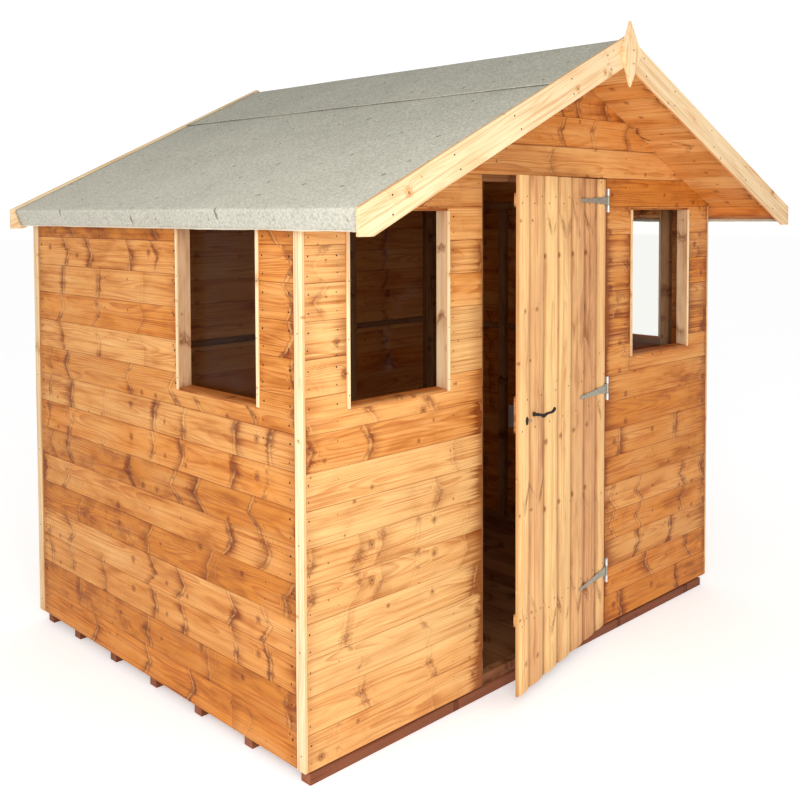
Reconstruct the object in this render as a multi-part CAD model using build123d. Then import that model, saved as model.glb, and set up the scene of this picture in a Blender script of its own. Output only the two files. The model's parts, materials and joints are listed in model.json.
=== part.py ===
from build123d import *
from math import atan, cos, sin
import os

# Wooden garden shed, 2.4 m wide and 1.8 m deep, with an apex roof and a ledged door in its front gable.
# Frame: millimetres, +X right seen from the front, +Y to the back, +Z up.
# Origin: on the ground, under the middle of the four walls, on the underside of the middle bearer.

# Overall sizes, over the front and rear boards and over the front panel's ends
width = 2416.0
depth = 1800.0
wall_end_top_z = 1790.0
roof_rise = 0.468

# Walls: boards on a light frame
board_t = 12.0
frame_t = 33.0
stud_w = 44.0
rail_h = 28.0
side_board_overhang = 9.0
side_end_gap = 2.0

# Floor
bearer_h = 36.0
bearer_w = 45.0
bearer_length = 2380.0
bearer_shift = -8.0
bearer_inset = 4.0
bearer_pitch = 296.0
last_bearer_inset = 36.0
deck_t = 16.0
deck_edge_gap = 4.0
wall_drop = 5.0

# Windows: the clear opening between the linings
window_w = 448.0
window_end_margin = 182.5
window_shift = -4.5
side_window_w = 448.0
side_window_front_margin = 228.0
sill_z = 1155.0
window_head_z = 1763.0
lining_t = 8.0
lining_depth = 48.0
pane_t = 4.0
pane_lap = 7.0
sill_nose = 4.0
sill_fall = 5.0
strip_w = 14.0
strip_t = 6.0
strip_below = 10.0

# Door opening and leaf
door_w = 780.0
door_shift = -6.0
door_head_z = 1892.0
door_gap = 5.0
leaf_t = 12.0
leaf_proud = 5.0
leaf_bottom_z = 50.0
leaf_open_angle = 11.0
stop_cover = 22.0
head_rail_cover = 21.0
ledge_t = 28.0
ledge_hinge_inset = 50.0
ledge_free_inset = 39.0
ledge_spans = ((282.0, 326.0), (977.0, 1108.0), (1776.0, 1824.0))
brace_w = 70.0
brace_t = 20.0

# T hinges
hinge_heights = (276.0, 1033.0, 1801.0)
hinge_plate_h = 95.0
hinge_plate_w = 14.0
hinge_metal_t = 2.5
knuckle_r = 4.5
pin_r = 2.2
pin_gap = 0.3
knuckle_gap = 0.6
strap_length = 261.0
strap_root_w = 40.0
strap_neck_w = 26.0
strap_tip_w = 10.0
strap_neck_at = 60.0

# Rim lock and lever handle
lever_z = 1037.0
lever_backset = 115.0
spindle_r = 4.0
spindle_gap = 1.0
hub_r = 9.0
hub_length = 9.0
lever_reach = 38.0
lever_length = 95.0
lever_section = 9.0
inner_lever_reach = 30.0
lever_clearance = 0.4
lock_case_w = 118.0
lock_case_h = 78.0
lock_case_t = 21.0
keep_w = 12.0
keep_h = 60.0
keep_depth = 24.0
keep_seat = 14.0

# Corner strips, bargeboards and finial
corner_strip_t = 13.0
corner_strip_w = 40.0
corner_strip_top_gap = 3.0
barge_t = 13.0
barge_w = 96.0
barge_lift = 8.0
barge_foot_h = 80.0
barge_past_eaves = 24.0
front_overhang = 329.0
rear_overhang = 36.0
eaves_overhang = 69.0
finial_t = 20.0
finial_half_w = 56.0
finial_above = 50.0
finial_wide_drop = 64.0
finial_below = 186.0

# Roof covering
roof_board_t = 12.0
felt_t = 2.5
felt_hang = 12.0
ridge_felt_half = 470.0
eaves_batten_w = 40.0
eaves_batten_drop = 43.0
gable_rafter_h = 50.0
rafter_seam = 1.0
ridge_seam = 0.5
barge_seam = 0.3
overlay_t = 13.0
overlay_z = 2007.0
purlin_w = 34.0
purlin_h = 58.0
purlin_off_stud = 1.0

half_w = width / 2
half_d = depth / 2
ridge_under = wall_end_top_z + roof_rise * half_w
frame_out_y = half_d - board_t
frame_in_y = frame_out_y - frame_t
side_out_x = half_w + side_board_overhang
side_frame_out_x = side_out_x - board_t
side_frame_in_x = side_frame_out_x - frame_t
floor_z = bearer_h + deck_t
wall_bottom_z = floor_z - wall_drop
rail_top_z = floor_z + rail_h
window_reach = half_w - window_end_margin - window_w / 2
window_centres = (window_shift - window_reach, window_shift + window_reach)
side_window_centre = -half_d + side_window_front_margin + side_window_w / 2
hole_half = window_w / 2 + lining_t
side_hole_half = side_window_w / 2 + lining_t
hole_bottom_z = sill_z - lining_t - sill_fall
hole_top_z = window_head_z + lining_t
pitch = atan(roof_rise)
eaves_x = half_w + eaves_overhang
roof_front_y = -half_d - front_overhang
roof_rear_y = half_d + rear_overhang
rear_stud_centre = (half_w - stud_w) / 2
purlin_at = rear_stud_centre - purlin_off_stud - purlin_w / 2
far = 4000.0

door_left = door_shift - door_w / 2
door_right = door_shift + door_w / 2
leaf_left = door_left + door_gap
leaf_right = door_right - door_gap
leaf_top_z = door_head_z - door_gap
leaf_out_y = -half_d - leaf_proud
leaf_in_y = leaf_out_y + leaf_t
ledge_in_y = leaf_in_y + ledge_t
hinge_x = door_right - door_gap / 2
hinge_y = leaf_out_y - knuckle_r
lever_x = leaf_left + lever_backset
ledge_left = leaf_left + ledge_free_inset
ledge_right = leaf_right - ledge_hinge_inset


def block(x, y, z):
    """A box given by its low and high X, Y and Z."""
    centre = Pos((x[0] + x[1]) / 2, (y[0] + y[1]) / 2, (z[0] + z[1]) / 2)
    return centre * Box(x[1] - x[0], y[1] - y[0], z[1] - z[0])


def prism_y(points, y0, y1):
    """A prism whose outline lies in X and Z and runs from y0 to y1."""
    outline = Polyline(*[(x, y0, z) for x, z in points], close=True)
    return extrude(make_face(outline), amount=y1 - y0, dir=(0, 1, 0))


def prism_x(points, x0, x1):
    """A prism whose outline lies in Y and Z and runs from x0 to x1."""
    outline = Polyline(*[(x0, y, z) for y, z in points], close=True)
    return extrude(make_face(outline), amount=x1 - x0, dir=(1, 0, 0))


def under(x, lift=0.0):
    """Height of the roof boards' underside at x, moved square to the slope by lift."""
    return ridge_under - roof_rise * abs(x) + lift / cos(pitch)


def at_eaves(along, lift=0.0):
    """Point of the left slope: up it from the eaves edge of the boards' underside, then square to it."""
    x = -eaves_x + along * cos(pitch) - lift * sin(pitch)
    return x, under(eaves_x) + along * sin(pitch) + lift * cos(pitch)


def under_roof(solid, drop=0.0):
    """Trims a solid to the space under both slopes, lowered by drop."""
    side, peak = under(far) - drop, ridge_under - drop
    room = prism_y([(-far, -far), (-far, side), (0, peak), (far, side), (far, -far)], -far, far)
    return solid & room


def mirror_x(solid):
    return mirror(solid, about=Plane.YZ)


def mirror_y(solid):
    return mirror(solid, about=Plane.XZ)


def write(name, *solids):
    """Writes one node, whose solids don't touch each other."""
    shape = solids[0] if len(solids) == 1 else Compound(children=list(solids))
    export_step(shape, f"parts/{name}.step")


def floor_nodes():
    """Bearers along X, and the boarded deck on them."""
    x0 = bearer_shift - bearer_length / 2
    x1 = bearer_shift + bearer_length / 2
    first = -half_d + bearer_inset
    last = half_d - last_bearer_inset - bearer_w
    spaced = int((last - first - bearer_w) / bearer_pitch) + 1
    fronts = [first + i * bearer_pitch for i in range(spaced)] + [last]
    bearers = [block((x0, x1), (y, y + bearer_w), (0, bearer_h)) for y in fronts]
    write("floor_bearers", *bearers)
    deck_x = side_frame_out_x - deck_edge_gap
    deck_y = frame_out_y - deck_edge_gap
    write("floor_deck", block((-deck_x, deck_x), (-deck_y, deck_y), (bearer_h, floor_z)))


def front_wall_nodes():
    """Boards of the front panel: beside the doorway, between the windows, above them and in the gable."""
    y = (-half_d, -frame_out_y)
    spans = ((-half_w, door_left), (door_right, half_w))
    write("front_wall_below_windows", *[block(x, y, (wall_bottom_z, hole_bottom_z)) for x in spans])
    left_hole, right_hole = [(centre - hole_half, centre + hole_half) for centre in window_centres]
    left_piers = ((-half_w, left_hole[0]), (left_hole[1], door_left))
    piers = (*left_piers, (door_right, right_hole[0]), (right_hole[1], half_w))
    write("front_wall_window_piers", *[block(x, y, (hole_bottom_z, hole_top_z)) for x in piers])
    write("front_wall_above_windows", *[under_roof(block(x, y, (hole_top_z, door_head_z))) for x in spans])
    write("front_gable_boards", under_roof(block((-half_w, half_w), y, (door_head_z, ridge_under))))
    overlay_y = (-half_d - overlay_t, -half_d)
    write("front_gable_overlay", under_roof(block((-half_w, half_w), overlay_y, (overlay_z, ridge_under))))


def rear_wall_node():
    wall = block((-half_w, half_w), (frame_out_y, half_d), (wall_bottom_z, ridge_under))
    write("rear_wall_boards", under_roof(wall))


def side_wall_nodes(side, place):
    """Boards of a side panel: below the window, beside it and above it, modelled on the left."""
    x = (-side_out_x, -side_frame_out_x)
    end = frame_in_y - side_end_gap
    hole = (side_window_centre - side_hole_half, side_window_centre + side_hole_half)
    lower = block(x, (-end, end), (wall_bottom_z, hole_bottom_z))
    piers = [block(x, y, (hole_bottom_z, hole_top_z)) for y in ((-end, hole[0]), (hole[1], end))]
    head = under_roof(block(x, (-end, end), (hole_top_z, ridge_under)))
    write(f"{side}_wall_below_window", place(lower))
    write(f"{side}_wall_window_piers", *[place(pier) for pier in piers])
    write(f"{side}_wall_above_window", place(head))


def front_frame_nodes():
    """Studs and rails behind the front boards; the door studs and the head rail also stop the leaf."""
    y = (-frame_out_y, -frame_in_y)
    window_studs = []
    for centre in window_centres:
        window_studs.append((centre - hole_half - stud_w, centre - hole_half))
        window_studs.append((centre + hole_half, centre + hole_half + stud_w))
    door_studs = [
        (door_left + stop_cover - stud_w, door_left + stop_cover),
        (door_right - stop_cover, door_right - stop_cover + stud_w),
    ]
    corner_studs = [(-half_w, -half_w + stud_w), (half_w - stud_w, half_w)]
    head_bottom = door_head_z - head_rail_cover - door_gap
    rafter_drop = gable_rafter_h / cos(pitch)
    tall = [(x, ridge_under) for x in corner_studs + [window_studs[0], window_studs[3]]]
    short = [(x, head_bottom) for x in door_studs + [window_studs[1], window_studs[2]]]
    studs = [under_roof(block(x, y, (rail_top_z, top)), rafter_drop) for x, top in tall + short]
    write("front_frame_studs", *studs)
    rails = [block((-half_w, half_w), y, (floor_z, rail_top_z))]
    for centre in window_centres:
        x = (centre - hole_half, centre + hole_half)
        rails.append(block(x, y, (hole_bottom_z - rail_h, hole_bottom_z)))
        rails.append(block(x, y, (hole_top_z, hole_top_z + rail_h)))
    head_x = (window_studs[1][0], window_studs[2][1])
    rails.append(block(head_x, y, (head_bottom, head_bottom + stud_w)))
    write("front_frame_rails", *rails)


def rear_frame_nodes():
    """Studs, bottom rail and middle rail of the rear panel."""
    y = (frame_in_y, frame_out_y)
    inner = half_w - stud_w
    centres = [-rear_stud_centre, 0.0, rear_stud_centre]
    spans = [(-half_w, -inner), (inner, half_w)] + [(c - stud_w / 2, c + stud_w / 2) for c in centres]
    rafter_drop = gable_rafter_h / cos(pitch)
    studs = [under_roof(block(x, y, (rail_top_z, ridge_under)), rafter_drop) for x in spans]
    write("rear_frame_studs", *studs)
    rails = [block((-half_w, half_w), y, (floor_z, rail_top_z))]
    edges = sorted(spans)
    for near, next_one in zip(edges, edges[1:]):
        rails.append(block((near[1], next_one[0]), y, (hole_bottom_z - rail_h, hole_bottom_z)))
    write("rear_frame_rails", *rails)


def gable_rafter_node():
    """Sloping members that close both gable frames under the roof boards."""
    drop = gable_rafter_h / cos(pitch)
    seam = rafter_seam
    outline = [
        (-half_w, under(half_w)),
        (-seam, under(seam)),
        (-seam, under(seam) - drop),
        (-half_w, under(half_w) - drop),
    ]
    left_front = prism_y(outline, -frame_out_y, -frame_in_y)
    lefts = [left_front, mirror_y(left_front)]
    write("gable_rafters", *lefts, *[mirror_x(rafter) for rafter in lefts])


def side_frame_nodes():
    """Studs and rails of both side panels."""
    x = (-side_frame_out_x, -side_frame_in_x)
    end = frame_in_y
    hole = (side_window_centre - side_hole_half, side_window_centre + side_hole_half)
    plate_bottom = hole_top_z
    rear_gap = end - stud_w - hole[1]
    middle = hole[1] + rear_gap / 2
    spans = [
        (-end, -end + stud_w),
        (hole[0] - stud_w, hole[0]),
        (hole[1], hole[1] + stud_w),
        (middle - stud_w / 2, middle + stud_w / 2),
        (end - stud_w, end),
    ]
    studs = [block(x, y, (rail_top_z, plate_bottom)) for y in spans]
    rails = [block(x, (-end, end), (floor_z, rail_top_z))]
    rails.append(under_roof(block(x, (-end, end), (plate_bottom, ridge_under))))
    rails.append(block(x, hole, (hole_bottom_z - rail_h, hole_bottom_z)))
    for near, next_one in zip(spans[2:], spans[3:]):
        rails.append(block(x, (near[1], next_one[0]), (hole_bottom_z - rail_h, hole_bottom_z)))
    write("side_frame_studs", *studs, *[mirror_x(stud) for stud in studs])
    write("side_frame_rails", *rails, *[mirror_x(rail) for rail in rails])


def window_parts(clear_w):
    """One window about X=0, with its board face at Y=0 and its room side at +Y."""
    half = clear_w / 2
    depth_y = (0.0, lining_depth)
    jamb_z = (sill_z - sill_fall, window_head_z)
    jambs = [block(x, depth_y, jamb_z) for x in ((-half - lining_t, -half), (half, half + lining_t))]
    head = block((-half - lining_t, half + lining_t), depth_y, (window_head_z, hole_top_z))
    sill_profile = [
        (-sill_nose, hole_bottom_z),
        (lining_depth, hole_bottom_z),
        (lining_depth, sill_z),
        (-sill_nose, sill_z - sill_fall),
    ]
    sill = prism_x(sill_profile, -half, half)
    pane_x = (-half - pane_lap, half + pane_lap)
    pane_z = (sill_z - pane_lap, window_head_z + pane_lap)
    pane = block(pane_x, (lining_depth, lining_depth + pane_t), pane_z)
    strip_z = (sill_z - strip_below, window_head_z)
    strips = [block(x, (-strip_t, 0.0), strip_z) for x in ((-half - strip_w, -half), (half, half + strip_w))]
    return jambs, [head, sill], pane, strips


def window_nodes():
    """Fixed windows: two beside the door and one near the front of each side wall."""
    left_turn = Pos(-side_out_x, side_window_centre, 0) * Rot(0, 0, -90)
    front = window_parts(window_w)
    side = window_parts(side_window_w)
    jambs, heads, panes, strips = [], [], [], []
    for centre in window_centres:
        place = Pos(centre, -half_d, 0)
        jambs += [place * part for part in front[0]]
        heads += [place * part for part in front[1]]
        panes.append(place * front[2])
        strips += [place * part for part in front[3]]
    left = [[left_turn * part for part in group] for group in (side[0], side[1], [side[2]], side[3])]
    for nodes, group in zip((jambs, heads, panes, strips), left):
        nodes += group
        nodes += [mirror_x(part) for part in group]
    write("window_jambs", *jambs)
    write("window_heads_and_sills", *heads)
    write("window_panes", *panes)
    write("window_strips", *strips)


def corner_strip_node():
    """Strips over the ends of the front and rear panels, on the side faces."""
    x = (-half_w - corner_strip_t, -half_w)
    top = under(half_w + corner_strip_t) - corner_strip_top_gap
    front = block(x, (-half_d, -half_d + corner_strip_w), (wall_bottom_z, top))
    lefts = [front, mirror_y(front)]
    write("corner_strips", *lefts, *[mirror_x(strip) for strip in lefts])


def roof_nodes():
    """Roof boards, eaves battens, purlins and felt, modelled on the left slope."""
    seam = ridge_seam
    boards = prism_y(
        [
            at_eaves(0),
            (-seam, under(seam)),
            (-seam, under(seam, roof_board_t)),
            at_eaves(0, roof_board_t),
        ],
        roof_front_y,
        roof_rear_y,
    )
    write("left_roof_boards", boards)
    write("right_roof_boards", mirror_x(boards))
    batten = prism_y(
        [
            at_eaves(0),
            at_eaves(eaves_batten_w),
            at_eaves(eaves_batten_w, -eaves_batten_drop),
            at_eaves(0, -eaves_batten_drop),
        ],
        roof_front_y,
        roof_rear_y,
    )
    write("eaves_battens", batten, mirror_x(batten))
    purlin_x = (-purlin_at - purlin_w, -purlin_at)
    purlin_z = (under(purlin_at) - purlin_h, ridge_under)
    purlin = under_roof(block(purlin_x, (-frame_in_y, frame_in_y), purlin_z))
    write("roof_purlins", purlin, mirror_x(purlin))
    hem = eaves_batten_drop + felt_hang
    lap = ridge_felt_half * cos(pitch)
    felt_under_top = under(0, roof_board_t)
    slope_felt = prism_y(
        [
            at_eaves(0, -hem),
            at_eaves(0, roof_board_t),
            (-lap / 2, under(lap / 2, roof_board_t)),
            (-lap / 2, under(lap / 2, roof_board_t + felt_t)),
            at_eaves(-felt_t, roof_board_t + felt_t),
            at_eaves(-felt_t, -hem),
        ],
        roof_front_y,
        roof_rear_y,
    )
    write("left_roof_felt", slope_felt)
    write("right_roof_felt", mirror_x(slope_felt))
    cap_low = roof_board_t + felt_t
    cap_high = cap_low + felt_t
    ridge_felt = prism_y(
        [
            (-lap, under(lap, cap_low)),
            (-lap, under(lap, cap_high)),
            (0, under(0, cap_high)),
            (lap, under(lap, cap_high)),
            (lap, under(lap, cap_low)),
            (lap / 2, under(lap / 2, cap_low)),
            (lap / 2, under(lap / 2, roof_board_t)),
            (0, felt_under_top),
            (-lap / 2, under(lap / 2, roof_board_t)),
            (-lap / 2, under(lap / 2, cap_low)),
        ],
        roof_front_y,
        roof_rear_y,
    )
    write("ridge_felt", ridge_felt)


def barge_nodes():
    """The finial, and bargeboards at both ends of each slope, with upright ends and level feet."""
    top_lift = roof_board_t + 2 * felt_t + barge_lift
    low_lift = top_lift - barge_w
    seam = barge_seam
    end_x = eaves_x + barge_past_eaves
    foot_top = under(end_x, top_lift)
    foot_z = foot_top - barge_foot_h
    foot_x = (under(0, low_lift) - foot_z) / roof_rise
    outline = [
        (-end_x, foot_top),
        (-seam, under(seam, top_lift)),
        (-seam, under(seam, low_lift)),
        (-foot_x, foot_z),
        (-end_x, foot_z),
    ]
    front = prism_y(outline, roof_front_y - barge_t, roof_front_y)
    rear = prism_y(outline, roof_rear_y, roof_rear_y + barge_t)
    write("left_bargeboards", front, rear)
    write("right_bargeboards", mirror_x(front), mirror_x(rear))
    apex = under(0, top_lift)
    wide_z = apex - finial_wide_drop
    spear = [
        (0, apex + finial_above),
        (finial_half_w, wide_z),
        (0, apex - finial_below),
        (-finial_half_w, wide_z),
    ]
    y1 = roof_front_y - barge_t
    write("finial", prism_y(spear, y1 - finial_t, y1))


def door_turned(solid):
    """Swings a closed door piece about the hinge pins to where the door stands ajar."""
    return Pos(hinge_x, hinge_y, 0) * Rot(0, 0, leaf_open_angle) * Pos(-hinge_x, -hinge_y, 0) * solid


def cylinder_y(x, z, radius, y0, y1):
    return Pos(x, (y0 + y1) / 2, z) * Rot(90, 0, 0) * Cylinder(radius, y1 - y0)


def door_nodes():
    """The ledged and braced leaf, modelled closed."""
    bore = cylinder_y(lever_x, lever_z, spindle_r + spindle_gap, -far, 0)
    leaf = block((leaf_left, leaf_right), (leaf_out_y, leaf_in_y), (leaf_bottom_z, leaf_top_z)) - bore
    write("door_boards", door_turned(leaf))
    ledge_x = (ledge_left, ledge_right)
    ledges = [block(ledge_x, (leaf_in_y, ledge_in_y), z) for z in ledge_spans]
    ledges[1] = ledges[1] - bore
    write("door_ledges", *[door_turned(ledge) for ledge in ledges])
    braces = []
    for low, high in zip(ledge_spans, ledge_spans[1:]):
        outline = [
            (ledge_left, low[1]),
            (ledge_left + brace_w, low[1]),
            (ledge_right, high[0] - brace_w),
            (ledge_right, high[0]),
            (ledge_right - brace_w, high[0]),
            (ledge_left, low[1] + brace_w),
        ]
        braces.append(prism_y(outline, leaf_in_y, leaf_in_y + brace_t))
    write("door_braces", *[door_turned(brace) for brace in braces])


def knuckle(z0, z1, radius):
    return Pos(hinge_x, hinge_y, (z0 + z1) / 2) * Cylinder(radius, z1 - z0)


def hinge_nodes():
    """Three T hinges: the strap and its middle knuckle on the leaf, the plate and pin on the frame."""
    straps, plates = [], []
    half_root = strap_root_w / 2
    for z in hinge_heights:
        root = leaf_right
        outline = [
            (hinge_x, z - half_root),
            (root, z - half_root),
            (root - strap_neck_at, z - strap_neck_w / 2),
            (root - strap_length, z - strap_tip_w / 2),
            (root - strap_length, z + strap_tip_w / 2),
            (root - strap_neck_at, z + strap_neck_w / 2),
            (root, z + half_root),
            (hinge_x, z + half_root),
        ]
        strap = prism_y(outline, leaf_out_y - hinge_metal_t, leaf_out_y)
        strap = strap + knuckle(z - half_root, z + half_root, knuckle_r)
        strap = strap - knuckle(z - strap_root_w, z + strap_root_w, pin_r + pin_gap)
        straps.append(door_turned(strap))
        low = z - hinge_plate_h / 2
        high = z + hinge_plate_h / 2
        plate_x = (hinge_x + knuckle_r, door_right + hinge_plate_w)
        plate = block(plate_x, (-half_d - hinge_metal_t, -half_d), (low, high))
        plate = plate + knuckle(low, high, pin_r)
        for z0, z1 in ((low, z - half_root - knuckle_gap), (z + half_root + knuckle_gap, high)):
            web = block((hinge_x, hinge_x + knuckle_r * 2), (hinge_y, -half_d), (z0, z1))
            plate = plate + knuckle(z0, z1, knuckle_r) + web
        plates.append(plate)
    write("hinge_straps", *straps)
    write("hinge_plates", *plates)


def lock_nodes():
    """Rim lock on the middle ledge, its keep on the door stud, and the lever with its spindle."""
    case_y = (ledge_in_y, ledge_in_y + lock_case_t)
    case_z = (lever_z - lock_case_h / 2, lever_z + lock_case_h / 2)
    bore = cylinder_y(lever_x, lever_z, spindle_r + spindle_gap, -far, 0)
    case = block((ledge_left - lever_clearance, ledge_left + lock_case_w), case_y, case_z) - bore
    write("lock_case", door_turned(case))
    keep_x = (door_left + stop_cover, door_left + stop_cover + keep_w)
    keep_y = (-frame_in_y - keep_seat, -frame_in_y - keep_seat + keep_depth)
    write("lock_keep", block(keep_x, keep_y, (lever_z - keep_h / 2, lever_z + keep_h / 2)))
    out_face = leaf_out_y - lever_clearance
    in_face = ledge_in_y + lock_case_t + lever_clearance
    lever = cylinder_y(lever_x, lever_z, spindle_r, out_face - lever_reach, in_face + inner_lever_reach)
    lever = lever + cylinder_y(lever_x, lever_z, hub_r, out_face - hub_length, out_face)
    lever = lever + cylinder_y(lever_x, lever_z, hub_r, in_face, in_face + hub_length)
    half = lever_section / 2
    arm_x = (lever_x - half, lever_x + lever_length)
    arm_z = (lever_z - half, lever_z + half)
    outer = block(arm_x, (out_face - lever_reach - half, out_face - lever_reach + half), arm_z)
    inner = block(arm_x, (in_face + inner_lever_reach - half, in_face + inner_lever_reach + half), arm_z)
    write("lever_handle", door_turned(lever + outer + inner))


def main():
    os.makedirs("parts", exist_ok=True)
    floor_nodes()
    front_wall_nodes()
    rear_wall_node()
    side_wall_nodes("left", lambda solid: solid)
    side_wall_nodes("right", mirror_x)
    front_frame_nodes()
    rear_frame_nodes()
    gable_rafter_node()
    side_frame_nodes()
    window_nodes()
    corner_strip_node()
    roof_nodes()
    barge_nodes()
    door_nodes()
    hinge_nodes()
    lock_nodes()


main()
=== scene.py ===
"""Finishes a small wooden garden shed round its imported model: every board, nail, hinge and sheet of felt.

Lengths are metres. +X is right seen from the door side, +Y runs to the back and +Z is up.
"""

import json
import random
from functools import cache
from math import atan, cos, pi, radians, sin

import bmesh
import bpy
from mathutils import Matrix, Vector, noise


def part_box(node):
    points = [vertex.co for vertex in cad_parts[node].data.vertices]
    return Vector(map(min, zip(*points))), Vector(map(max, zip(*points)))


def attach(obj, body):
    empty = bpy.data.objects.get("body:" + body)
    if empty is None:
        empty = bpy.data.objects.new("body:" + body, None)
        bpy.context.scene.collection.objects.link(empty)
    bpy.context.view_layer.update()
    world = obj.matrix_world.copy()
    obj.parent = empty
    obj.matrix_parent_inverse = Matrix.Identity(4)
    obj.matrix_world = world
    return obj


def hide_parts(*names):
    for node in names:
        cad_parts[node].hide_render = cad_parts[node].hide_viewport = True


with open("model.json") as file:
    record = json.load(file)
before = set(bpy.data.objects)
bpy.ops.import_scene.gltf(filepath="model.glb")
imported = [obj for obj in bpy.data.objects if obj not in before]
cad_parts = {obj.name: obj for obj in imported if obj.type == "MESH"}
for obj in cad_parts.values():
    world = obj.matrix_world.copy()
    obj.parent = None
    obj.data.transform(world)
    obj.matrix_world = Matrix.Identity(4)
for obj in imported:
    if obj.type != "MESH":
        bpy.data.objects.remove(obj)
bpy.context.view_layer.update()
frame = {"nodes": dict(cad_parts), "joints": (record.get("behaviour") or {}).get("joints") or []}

bl_info = {
    "name": "Wooden Garden Shed",
    "version": (1, 0, 0),
    "blender": (4, 5, 0),
    "location": "View3D > Sidebar > Shed",
    "description": "Boards, felt, door, fittings and stage of a small apex shed",
    "category": "Object",
}

UP = Vector((0, 0, 1))
OUT = (0, -1, 0)  # out of the front wall
SIDES = (("left", -1), ("right", 1))
FLAT_ANGLE = radians(0.5)
SHARP_ANGLE = radians(38)
TOUCH = 1e-5  # points nearer than this are the same


# ---------------------------------------------------------------- settings


def colour(name, text, default):
    return bpy.props.FloatVectorProperty(
        name=name, description=text, default=default, size=3, subtype="COLOR", min=0, max=1
    )


def length(name, text, default):
    return bpy.props.FloatProperty(name=name, description=text, default=default, unit="LENGTH", precision=4)


def amount(name, text, default):
    return bpy.props.FloatProperty(name=name, description=text, default=default, precision=3)


def angle(name, text, degrees):
    return bpy.props.FloatProperty(name=name, description=text, default=radians(degrees), unit="ROTATION")


def spot(name, text, default):
    return bpy.props.FloatVectorProperty(
        name=name, description=text, default=default, size=3, subtype="XYZ", unit="LENGTH"
    )


class ShedSizes(bpy.types.PropertyGroup):
    """Sizes of what the finish adds"""

    cover: length("Board cover", "Height of wall that one cladding board covers", 0.1153)
    groove: length("Lap groove", "Chamfer on the top edge of a cladding board", 0.0013)
    roof_groove: length("Roof board groove", "Chamfers on the underside of the roof boards", 0.0030)
    lip: length("Lap lip", "Easing of the bottom edge of a cladding board", 0.0006)
    lean: length("Board lean", "How far a board's top edge sits behind its bottom edge", 0.0006)
    ragged: length("Ragged ends", "How unevenly the cladding is cut to length", 0.0015)
    arris: length("Timber arris", "Easing of the edges of planed timber", 0.0015)
    sawn_arris: length("Sawn arris", "Easing of the edges of sawn timber", 0.0025)
    tip_thinning: amount("Finial thinning", "Share of its thickness that the finial loses at its tips", 0.5)
    nail: length("Nail head", "Radius of a cladding nail's head", 0.0035)
    nail_end: length("Nail margin", "Distance of a nail from a board's lap", 0.026)
    clout: length("Clout nail", "Radius of a felt nail's head", 0.005)
    door_edge_board: length("Door edge board", "Cover of the trimmed boards at the door's edges", 0.091)
    door_crown: length("Door board crown", "How far a door board's middle stands out from its edges", 0.0068)
    felt_wave: length("Felt wave", "Height of the slow waves in the roof felt", 0.0022)
    felt_droop: length("Felt hem wave", "Unevenness of the felt's lower edge", 0.004)
    felt_fold: length("Felt fold", "Rounding where the felt turns down over the eaves", 0.008)
    ridge_fold: length("Ridge fold", "Rounding of the ridge strip over the ridge", 0.03)


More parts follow.
